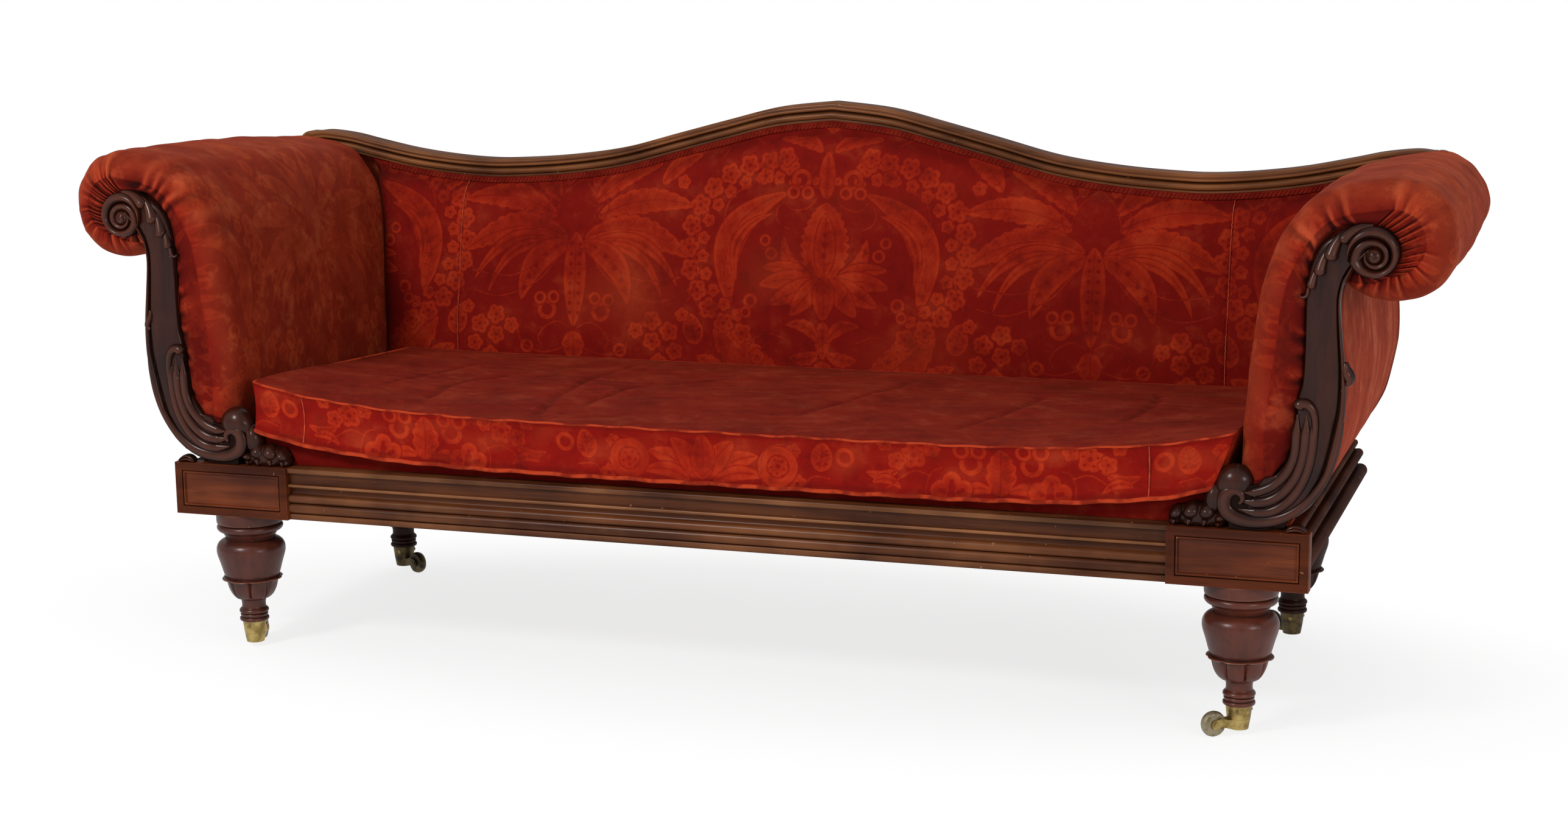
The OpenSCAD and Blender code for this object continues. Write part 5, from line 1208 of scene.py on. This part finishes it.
def squab():
    """The loose cushion: sections round its boxing and crown, carried along its length
    with the ends turned up; its boxing pulls in between piped edges and its top creases."""
    half, y0, y1 = SQUAB_W / 2, -0.338, 0.2366
    share = [(0, 0.0008), (0.02, 0.0018), (0.05, 0.0020), (0.08, 0.0006), (0.12, -0.0004)] + [
        (v, -0.0052 * math.sin(math.pi * (v - 0.12) / 0.76) ** 0.8)
        for v in np.linspace(0.16, 0.84, 20)] + [
        (0.88, -0.0004), (0.92, 0.0004), (0.955, 0.0014), (0.98, 0.0008), (1.0, -0.0012)]
    heights = np.linspace(0, 1, 46)
    box = np.stack([heights, np.interp(heights, *np.array(share).T)], -1)
    top = np.linspace(0, 1, 84)[1:-1]
    spot = np.concatenate([np.stack([y0 - box[:, 1], box[:, 0]], -1),
        np.stack([y0 + (y1 - y0) * top, 1 + 0 * top], -1),
        np.stack([y1 + box[::-1, 1], box[::-1, 0]], -1),
        np.stack([y1 + (y0 - y1) * np.linspace(0, 1, 12)[1:-1], np.zeros(10)], -1)])
    n = len(spot)
    crown_at = np.zeros(n)
    crown_at[len(box):len(box) + len(top)] = np.sin(math.pi * top) ** 0.75
    u = np.concatenate([-np.linspace(1, 0.985, 6)[:-1], np.linspace(-0.985, 0.985, 601),
        np.linspace(0.985, 1, 6)[1:]])[:, None]
    depth = np.clip((spot[:, 0] - y0) / (y1 - y0), 0, 1)
    rise = SQUAB_RISE * np.abs(u) ** 5 * end_fade(depth)
    x = SQUAB_SHIFT + u * (half + 0.015 * depth) - 0.030 * (1 - spot[:, 1]) * np.clip(u, 0, 1) ** 8
    y = np.broadcast_to(spot[:, 0], x.shape).copy()
    top_side = crown_at > 0
    crease = 0.0022 * ripple(x, y, 21, 0.21) + 0.0010 * ripple(x * 0.7, y * 1.3, 22, 0.075)
    # Painted shade down each crease and a painted highlight on its shoulder
    dark = np.zeros_like(x)
    for line in CREASES:
        p = curve(line, 8)
        reach = np.clip(np.minimum(y - p[0, 1], p[-1, 1] - y) / 0.07 + 0.15, 0, 1)
        off = x - np.interp(y, p[:, 1], p[:, 0])
        crease = crease - reach * (0.0042 * hump(off, 0, 0.008) - 0.0018 * hump(off, 0.020, 0.014))
        dark = dark - reach * (0.55 * hump(off, 0.002, 0.009) - 0.22 * hump(off, 0.018, 0.012))
    z = SQUAB_FOOT + rise + spot[:, 1] * SQUAB_T + 0.009 * crown_at * (1 - u ** 4)
    z = z + crease * np.minimum(crown_at * 2.5, 1) * (1 - np.abs(u) ** 10)
    front_side = (np.arange(n) < len(box))[None]
    mid = np.sin(math.pi * np.clip(spot[:, 1], 0, 1))[None]
    wavy = 0.0016 * ripple(x, z, 23, 0.15) + 0.0008 * ripple(x, z * 0.5, 24, 0.05)
    y = y + front_side * mid * wavy
    y = np.where(front_side, np.maximum(y, FRONT_Y + 0.006), y)
    seam = hump(x, SQUAB_SEAMS[0], 0.0022) + hump(x, SQUAB_SEAMS[1], 0.0022)
    y = y + front_side * seam * 0.0012 * mid
    points = np.stack([x, y, z], -1)
    centre = points[[0, -1]].mean(1, keepdims=True)
    # Each end closes by rings drawn in towards its middle and pushed a little outwards
    inner = [(points[[0, -1]] * (1 - k) + centre * k, push)
        for k, push in ((0.03, 0.0), (0.12, 0.003), (0.4, 0.0045))]
    before = np.stack([ring[0] + [-push, 0, 0] for ring, push in inner][::-1])
    after = np.stack([ring[1] + [push, 0, 0] for ring, push in inner])
    whole = np.concatenate([before, points, after])
    x_of, y_of, z_of = np.moveaxis(whole, -1, 0)
    flat = np.broadcast_to(spot[:, 1], x_of.shape)
    # The boxing shows a strip as high as itself, round the middle of its own pattern
    strip_mid, strip_high = 508, 84
    figure, line = np.where(top_side[None], damask(x_of * 1000 + 230, y_of * 1000 + 905),
        damask(x_of * 1000 - 8, strip_mid + (flat - 0.5) * strip_high, BOX_CLOTH))
    is_top = np.broadcast_to(top_side, x_of.shape).astype(float)
    cloud = 0.22 * ripple(x_of, y_of, 25, 0.17) + 0.16 * ripple(x_of, y_of * 2.4, 28, 0.055)
    # Random variation, with painted shade in the top's creases and along the boxing's piped edges
    tone = is_top * (cloud - 0.1 + 0.7 * np.pad(dark, ((3, 3), (0, 0)), "edge"))
    tone = tone + (1 - is_top) * (0.16 * ripple(x_of, z_of * 2, 26, 0.12)
        - 0.35 * hump(flat, 0.10, 0.05) - 0.2 * hump(flat, 0.93, 0.03))
    wear = is_top * 0.18 * ripple(x_of, y_of * 2.2, 27, 0.20).clip(0)
    cushion = swept("squab_cushion", whole, SQUAB_VELVET, body="squab", slot="squab_velvet",
        values={"figure": figure, "line": line, "tone": tone, "wear": wear}, sharp=70)
    # Its top has its own finish
    cushion.data.materials.append(TOP_VELVET)
    normals = np.empty(len(cushion.data.polygons) * 3)
    cushion.data.polygons.foreach_get("normal", normals)
    facing_up = normals.reshape(-1, 3)[:, 2] > 0.72
    cushion.data.polygons.foreach_set("material_index", facing_up.astype(np.int32))
    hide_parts("squab")

    # Piping round both edges of the boxing, at a share of its height
    for name, share_up, lift, radius in (("lower", 0.03, 0.0, 0.0033),
            ("upper", 0.975, 0.0002, 0.0018)):
        k = int(np.argmin(np.abs(heights - share_up)))
        front, rear = points[:, k].copy(), points[:, n - 10 - 1 - k]
        wobble = 0.0007 * np.sin(front[:, 0] * 95) + 0.0005 * np.sin(front[:, 0] * 41 + 1)
        front[:, 1] -= 0.0006
        front[:, 2] += lift + wobble
        loop = np.concatenate([front, np.linspace(front[-1], rear[-1], 80)[1:-1], rear[::-1],
            np.linspace(rear[0], front[0], 80)[1:-1]])
        loop = along(np.vstack([loop, loop[:1]]), 1200)[:-1]
        ring_tube(f"squab_piping_{name}", smoothed(smoothed(loop)), radius, PIPING, "squab")
    for name, x_at in zip(("left", "right"), SQUAB_SEAMS):
        z_at = np.linspace(0.06, 0.94, 24)
        k = int(np.argmin(np.abs(x[:, 0] - x_at)))
        y_at = np.interp(z_at, heights, points[k, :len(box), 1]) - 0.0008
        path = np.stack([z_at * 0 + x_at, y_at, SQUAB_FOOT + rise[k, 0] + z_at * SQUAB_T], -1)
        tube(f"squab_seam_{name}", path, 0.0010, THREAD, 6, body="squab", slot="squab_velvet")


# Each arm's pleats: how many, the seed of their draws, their depth and their length
PLEATS = {"left": (29, 5, 0.0030, 1.0), "right": (19, 8, 0.0024, 1.05)}


# Places cut up the arm's inner face, round its roll and down behind the carving, and the
# metres between two round the roll; its first and last angle in degrees; rows over the
# front face
UP_PLACES, ROLL_PLACES, HIDDEN_PLACES = 118, 150, 28
PLACE_STEP = 0.0024
ROLL_FROM, ROLL_TO = 100, -145
FACE_ROWS = 34


def arm_lines():
    """The arm's section, and the line on its front face under the carving's edge, each
    cut at the same number of places: up the inner face, round the roll, and hidden
    behind the carving on the way down. Also how much each place rounds and swells."""
    rise = arm_inner(8)
    rise = rise[rise[:, 1] > PAD_FOOT]
    head = np.array(arc(*ROLL, ROLL_R, ROLL_FROM, ROLL_TO, 80))
    hidden = curve(spots(TIMBER), 4)[::-1]
    hidden[:, 1] = np.maximum(hidden[:, 1], PAD_FOOT + 0.0002)
    face = curve(spots(FACE_EDGE), 8)
    ring = np.array(arc(VOLUTE[0], VOLUTE[1] + 0.002, 0.0335, ROLL_FROM, ROLL_TO, 80))
    a, b, c = UP_PLACES, ROLL_PLACES, HIDDEN_PLACES
    down = along(np.vstack([head[-1:], hidden]), c + 1)[1:]
    outer = np.vstack([along(rise, a), along(head, b + 1)[1:], down])
    back_way = down + [0.013, 0]
    back_way[:, 0] = np.minimum(back_way[:, 0], 0.955)
    inner = np.vstack([along(face, a), along(ring, b + 1)[1:], back_way])
    place = np.arange(a + b + c)
    angle = ROLL_FROM - (ROLL_FROM - ROLL_TO) * np.clip((place - a) / b, 0, 1)
    hold = np.where(place < a, 1, np.clip((angle - ROLL_TO) / 55, 0, 1)) * (place < a + b)
    up = np.clip((outer[:, 1] - RAIL_TOP) / ARM_H, 0, 1)
    swell = np.where(place < a, np.clip((up - 0.7) / 0.25, 0, 1), hold)
    return outer, inner, hold, swell * (place < a + b)


def arm_skin(side, s):
    """Stuffed arm as one skin: rows run from under the carving over the front face, round
    its edge and back along the roll. The face gathers in pleats that start at the carving."""
    outer, inner, hold, swell = arm_lines()
    a, b, n = UP_PLACES, ROLL_PLACES, len(outer)
    place = np.arange(n)
    ahead = np.roll(outer, -1, 0) - np.roll(outer, 1, 0)
    ahead[0], ahead[a + b - 1] = outer[1] - outer[0], outer[a + b - 1] - outer[a + b - 2]
    normal = normed(np.stack([-ahead[:, 1], ahead[:, 0]], -1))
    for _ in range(3):
        normal[1:a + b - 1] = smoothed(normal)[1:a + b - 1]
    rounding, depth, tail_r = ARM_ROUND_IN, ARM_ROUND_D, 0.010
    full_y, tail_y = ARM_FACE_Y + depth, ARM_BACK_Y - tail_r
    across = np.linspace(0, 1, FACE_ROWS)
    turn = np.linspace(0, math.pi / 2, 26)[1:]
    back = np.linspace(full_y, tail_y, 128)[1:]
    tail = np.linspace(0, math.pi / 2, 6)[1:]
    face_end = outer + normal * (-rounding * hold)[:, None]
    # Rows in the front view, their depths, and how far each has gone from the carving
    rows, ys, gone = [], [], []
    for q in across:
        dome = -0.0035 * math.sin(math.pi * min(q * 1.15, 1)) * (place < a + b)
        rows.append(inner * (1 - q) + face_end * q)
        ys.append(ARM_FACE_Y + dome + 0.006 * max(0, 1 - q * 9) ** 2)
        gone.append(np.linalg.norm(face_end - inner, axis=1) * q)
    for v in turn:
        rows.append(outer - normal * (rounding * (1 - math.sin(v)) * hold)[:, None])
        ys.append(np.full(n, full_y - depth * math.cos(v)))
        gone.append(gone[FACE_ROWS - 1] + rounding * v)
    for y in back:
        rows.append(outer.copy())
        ys.append(np.full(n, y))
        gone.append(gone[FACE_ROWS + len(turn) - 1] + (y - full_y))
    for v in tail:
        rows.append(outer - normal * (tail_r * (1 - math.cos(v)) * hold)[:, None])
        ys.append(np.full(n, tail_y + tail_r * math.sin(v)))
        gone.append(gone[-1] + 0.001)
    flat, y, gone = np.stack(rows), np.stack(ys), np.stack(gone)
    t = np.clip((y - FRONT_Y) / (ARM_BACK_Y - FRONT_Y), 0, 1)
    puff = ROLL_SWELL * swell * np.sin(math.pi * np.clip(t / 0.9, 0, 1))
    flat = flat + normal[None] * puff[..., None]
    flat[..., 0] += ARM_SPLAY * t * np.clip(1 - (outer[:, 0] - ARM_IN_X) / SPLAY_FADE, 0, 1)
    high = np.clip((flat[..., 1] - 0.64) / 0.17, 0, 1)
    flat[..., 1] -= ROLL_FALL[side] * t ** 1.5 * high * high * (3 - 2 * high)

    # Pleats: a valley and a ridge beside it at each place, from the carving outwards
    count, seed, deep, reach = PLEATS[side]
    pick = np.random.default_rng(seed)
    fold = np.zeros_like(y)
    skin = place < a + b

    def window(start, ramp, hold_to, fade):
        return (np.clip((gone - start) / ramp, 0, 1)
            * np.exp(-(np.clip(gone - hold_to, 0, None) / fade) ** 2))

    for k in np.linspace(a - 22, a + b - 6, count) + pick.uniform(-2.2, 2.2, count):
        start, length = pick.uniform(-0.004, 0.006), pick.uniform(0.024, 0.062) * reach
        lean = pick.uniform(-26, 26)
        spot = k + lean * (gone - 0.02)
        wide = pick.uniform(0.8, 1.35) * (1.0 if count > 20 else 0.85) * (1 + gone * 9)
        strength = window(start, 0.006, length * 0.4, length * 0.6) * pick.uniform(0.5, 1.0)
        fold += strength * (hump(place, spot + wide * 1.1, wide) - hump(place, spot - wide * 0.9, wide))
    # Short ones up the inner edge, then long soft ones over the rounding
    for k in np.linspace(18, a - 26, 9) + pick.uniform(-3, 3, 9):
        length = pick.uniform(0.014, 0.035)
        wide = 1.3 * (1 + gone * 12)
        strength = np.clip(1 - gone / length, 0, 1) * pick.uniform(0.3, 0.7)
        fold += strength * (hump(place, k + wide, wide) - hump(place, k - wide, wide))
    for k in (a - 34, a - 20, a - 8, a + 6, a + 20):
        length = pick.uniform(0.11, 0.20) * (1.0 if side == "left" else 0.6)
        spot = k + 40 * (gone - 0.06) * pick.uniform(-1, 1)
        strength = window(0.03, 0.03, length * 0.5, length * 0.4) * 0.30
        fold += strength * (hump(place, spot + 3, 3) - hump(place, spot - 3, 3.4))
    fold = fold * skin
    in_face = (np.arange(len(y)) < FACE_ROWS)[:, None]
    v_of = np.concatenate([np.zeros(FACE_ROWS), turn,
        np.full(len(back) + len(tail), math.pi / 2)])[:, None]
    round_way = np.broadcast_to(place * 0.0036, y.shape)
    soft = (0.0016 * ripple(gone, round_way, seed + 30, 0.16)
        + 0.0009 * ripple(gone, round_way, seed + 31, 0.06))
    lift = (fold * deep + soft * np.clip(gone / 0.05, 0, 1)) * skin
    flat = flat + normal[None] * (lift * np.sin(v_of))[..., None]
    y = np.minimum(y - lift * np.cos(v_of), ARM_BACK_Y)
    points = np.stack([flat[..., 0], y, flat[..., 1]], -1)

    # The damask runs up the face and on round the roll; folds, edges and hollows get painted shade and
    # painted highlights
    u_mm = np.where(in_face, flat[..., 0] * 1000, 900 + (y - ARM_FACE_Y) * 1000)
    round_roll = outer[a - 1, 1] + (place - a) * PLACE_STEP
    v_mm = np.where(place < a, outer[:, 1], round_roll) * 1000
    figure, line = damask(u_mm + 120, np.broadcast_to(v_mm, y.shape) + 40)
    face_edge = gone[FACE_ROWS - 1]
    edge_wear_and_sheen = hump(v_of, 0.8, 0.55) * (1 - in_face) + 0.25 * in_face * hump(gone, face_edge, 0.02)
    top_wear_and_sheen = hump(place, a + 28, 34) * (1 - in_face)
    # Painted shade in the pleats' valleys and painted highlight on their ridges, a random variation, and
    # painted shade over the front face, beside the carving, under the roll's turn and low on the inner
    # face
    tone = np.clip(fold * 1.15, -1, 1) + 0.18 * ripple(gone, round_way, seed + 33, 0.13)
    tone = tone - 0.50 * in_face - 0.6 * np.exp(-gone / 0.007)
    tone = tone - 0.5 * np.clip(1 - hold, 0, 1) * (place > a + 60)
    low_down = np.exp(-(outer[:, 1] - 0.40).clip(0) / 0.03)
    tone = tone - 0.30 * low_down * (place < a) * (1 - in_face)
    # Lighter on the rounded edge and roll top, partly rubbing and partly painted sheen, and painted
    # highlights on the pleats' ridges
    wear = 0.16 * edge_wear_and_sheen + 0.16 * top_wear_and_sheen
    wear = wear + 0.5 * np.clip(fold, 0, 1) ** 1.5 * np.exp(-(gone / 0.075) ** 2)
    bright = np.clip(1 - (gone - face_edge) / 0.075, 0, 1)
    skin_obj = swept(f"stuffed_arm_{side}", points, ARM_VELVET, slot="arm_velvet", mirror=s, sharp=75,
        values={"figure": figure, "line": line, "tone": tone, "wear": wear, "bright": bright})
    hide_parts(f"arm_pad_{side}", f"arm_front_face_{side}")


def post_edge():
    """The arm posts' outer edge in the front view, upwards from the rail."""
    edge = curve(spots(SHAFT_OUTER), 10)
    edge[:, 1] = np.maximum(edge[:, 1], RAIL_TOP + GAP)
    return edge[edge[:, 1].argmin():]


def outside_arm(side, s):
    """The padded outer side: the posts' curve carried back, with soft upright folds."""
    line = along(post_edge(), 112)
    ahead = normed(np.gradient(line, axis=0))
    normal = np.stack([ahead[:, 1], -ahead[:, 0]], -1)
    y = np.concatenate([[-0.3184, -0.3180, -0.3170], np.linspace(-0.3155, 0.3440, 150),
        [0.3465, 0.3478, 0.3482]])
    to_edge = np.minimum(y - y[0], y[-1] - y)[:, None]
    y, share = np.broadcast_arrays(y[:, None], np.linspace(0, 1, len(line)))
    edge = np.clip(to_edge / 0.010, 0, 1)
    pull = -0.0022 * (1 - np.sqrt(edge))
    folds = 0.0011 * ripple(y, share * 0.10, 41, 0.055) + 0.0012 * ripple(y, share * 0.3, 42, 0.2)
    out = pull + folds * np.sin(math.pi * share) * edge - 0.0012
    front = np.stack([line[:, 0] + normal[:, 0] * out, y, line[:, 1] + normal[:, 1] * out], -1)
    inner = line - normal * PANEL_T
    inner[:, 1] = np.maximum(inner[:, 1], RAIL_TOP + GAP)
    rear = np.stack([y * 0 + inner[:, 0], y, y * 0 + inner[:, 1]], -1)[:, ::-1]
    whole = np.concatenate([front, rear[:, :1], rear[:, 28:84:28], rear[:, -1:]], 1)
    m, k = whole.shape[:2]
    v = np.concatenate([np.linspace(330, 700, len(line)), [700, 600, 450, 330]])
    figure, linework = damask(whole[..., 1] * 1000 + 300, np.broadcast_to(v, (m, k)))
    tone = np.zeros((m, k))
    # Random variation, painted shade under the roll along the top and painted shade along the tacked
    # edges
    tone[:, :len(line)] = (0.34 * ripple(y, share * 0.05, 43, 0.05)
        + 0.22 * ripple(y, share * 0.2, 44, 0.14) - 0.8 * np.exp(-(1 - share) / 0.10))
    tone = tone - 0.3 * np.exp(-to_edge / 0.008)
    panel = swept(f"outside_arm_cover_{side}", whole, PANEL_VELVET, slot="arm_velvet", mirror=s,
        sharp=60, values={"figure": figure, "line": linework, "tone": tone, "wear": tone * 0})
    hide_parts(f"arm_outside_panel_{side}")


def outside_back():
    """Cloth stretched over the outside of the back, hollow between its tacked edges, with
    a gimp round it. Rows lie between the base and the crest's underside."""
    edge = post_edge()

    def reach(z):
        """Half the cloth's width at a height, no wider than at the posts' top."""
        return np.where(z <= edge[-1, 1], np.interp(z, edge[:, 1], edge[:, 0]), edge[-1, 0]) - GAP

    low = RAIL_TOP + GAP
    across = np.linspace(-1, 1, 241)
    up = np.linspace(0, 1, 96)[:, None]
    first_x = across * reach(low + (0.716 - low) * up)
    crest_under = crest_z(first_x) - CREST_H - 0.0006
    z = low + (crest_under - low) * up
    x_of = reach(z)
    x = across * x_of
    room = np.minimum(np.minimum(x_of - np.abs(x), z - low), crest_under - z)
    hollow = 0.0016 * (1 - np.exp(-np.clip(room, 0, None) / 0.03))
    y = BACK_Y - GAP - hollow - 0.0004 * (1 + ripple(x, z * 0.5, 51, 0.12))
    rows, columns = z.shape
    front = np.stack([x, y, z], -1).reshape(-1, 3)
    rear = np.stack([x, np.full_like(x, BACK_Y - 0.0035), z], -1).reshape(-1, 3)
    ring, c = rim(rows, columns), len(front)
    wall = np.stack([ring, np.roll(ring, -1), c + np.roll(ring, -1), c + ring], -1)
    faces = np.vstack([grid_faces(rows, columns), grid_faces(rows, columns) + c, wall])
    figure, line = damask(x * 1000, z * 1000)
    # Random variation and painted shade along its tacked edges
    tone = 0.16 * ripple(x, z * 0.4, 52, 0.12) - 0.25 * np.exp(-np.clip(room, 0, None) / 0.012)
    values = {key: np.concatenate([v.ravel(), v.ravel()]) for key, v in
        (("figure", figure), ("line", line), ("tone", tone), ("wear", 0.1 + tone * 0))}
    cloth = piece("outside_back_cover", np.vstack([front, rear]), faces, PANEL_VELVET, slot="velvet",
        values=values, sharp=60)
    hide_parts("outside_back")
    # A gimp runs round it, just inside its edge
    border = np.stack([x, y, z], -1)
    path = np.concatenate([border[2, 2:-2], border[2:-2, -3], border[-3, -3:2:-1], border[-3:2:-1, 2]])
    path = along(np.vstack([path, path[:1]]), 900)[:-1]
    for _ in range(4):
        path = smoothed(path)
    path[:, 1] = BACK_Y - 0.0016
    trim = ring_tube("outside_back_gimp", path, 0.0022, GIMP, "frame", 8, (0, 1.0, 0))


def platform():
    """The stuffed platform: a low pad whose ends rise with the squab's."""
    reach, foot, top = ARM_IN_X - 0.0006, 0.3142, 0.3280
    x = np.linspace(-reach, reach, 180)[:, None]
    lift = SQUAB_RISE * (np.clip(np.abs(x) - SQUAB_SHIFT, 0, None) / (SQUAB_W / 2)).clip(0, 1) ** 5
    y0, y1 = -0.3198, 0.2403
    section = np.array([(y0 + 0.0006, 0.0), (y0 + 0.0002, 0.25), (y0, 0.6), (y0 + 0.0012, 0.9),
        (y0 + 0.005, 1.0), (y0 + 0.08, 1.0), (y1 - 0.1, 1.0), (y1, 1.0), (y1, 0.0)])
    y, share = section.T
    # Its front edge wavers a little
    wavering = 0.0004 * ripple(x, x * 0, 61, 0.09) * (np.arange(len(y)) < 4)
    z = foot + share * (top - foot + lift * end_fade(np.clip((y + 0.338) / 0.575, 0, 1)))
    points = np.stack([x + 0 * z, np.clip(y + wavering, y0, None), z], -1)
    zero = np.zeros(z.size)
    # Evenly darker through the shading value: painted shade under the squab
    pad = swept("seat_platform_pad", points, BACK_VELVET, slot="velvet", sharp=60,
        values={"figure": zero + 9, "line": zero + 9, "tone": zero - 0.25, "wear": zero})
    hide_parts("seat_platform")


def paint_nodes():
    """Finishes of the solids that stay: hidden timbers, webbing and the casters."""
    # The rear casters take the darker brass: painted shade
    finishes = (("caster_cup_rear", SHADED_BRASS), ("caster_horn_rear", SHADED_BRASS),
        ("caster_wheel_rear", SHADED_BRASS), ("caster_cup", BRASS), ("caster_horn", BRASS),
        ("caster_wheel", WHEEL), ("cup_screws", SCREW), ("seat_webbing", JUTE),
        ("back_webbing", JUTE), ("corner_block", STAINED), ("rear_rail", STAINED),
        ("arm_post", STAINED))
    for obj in bpy.data.objects:
        if obj.type != "MESH" or obj.name not in frame["nodes"]:
            continue
        paint = next((made for start, made in finishes if obj.name.startswith(start)), BEECH)
        for slot in obj.material_slots:
            slot.material = paint


bpy.context.scene.view_settings.view_transform = "Standard"
stand_camera()
lay_floor()
light()
paint_nodes()
front_rail()
legs()
crest()
platform()
back_pad()
gimp()
squab()
outside_back()
for side_name, sign in SIDES:
    for build in (side_rail, framed_die, facing_shaft, facing_volute, facing_leaf, facing_scroll, paw,
            arm_skin, outside_arm):
        build(side_name, sign)
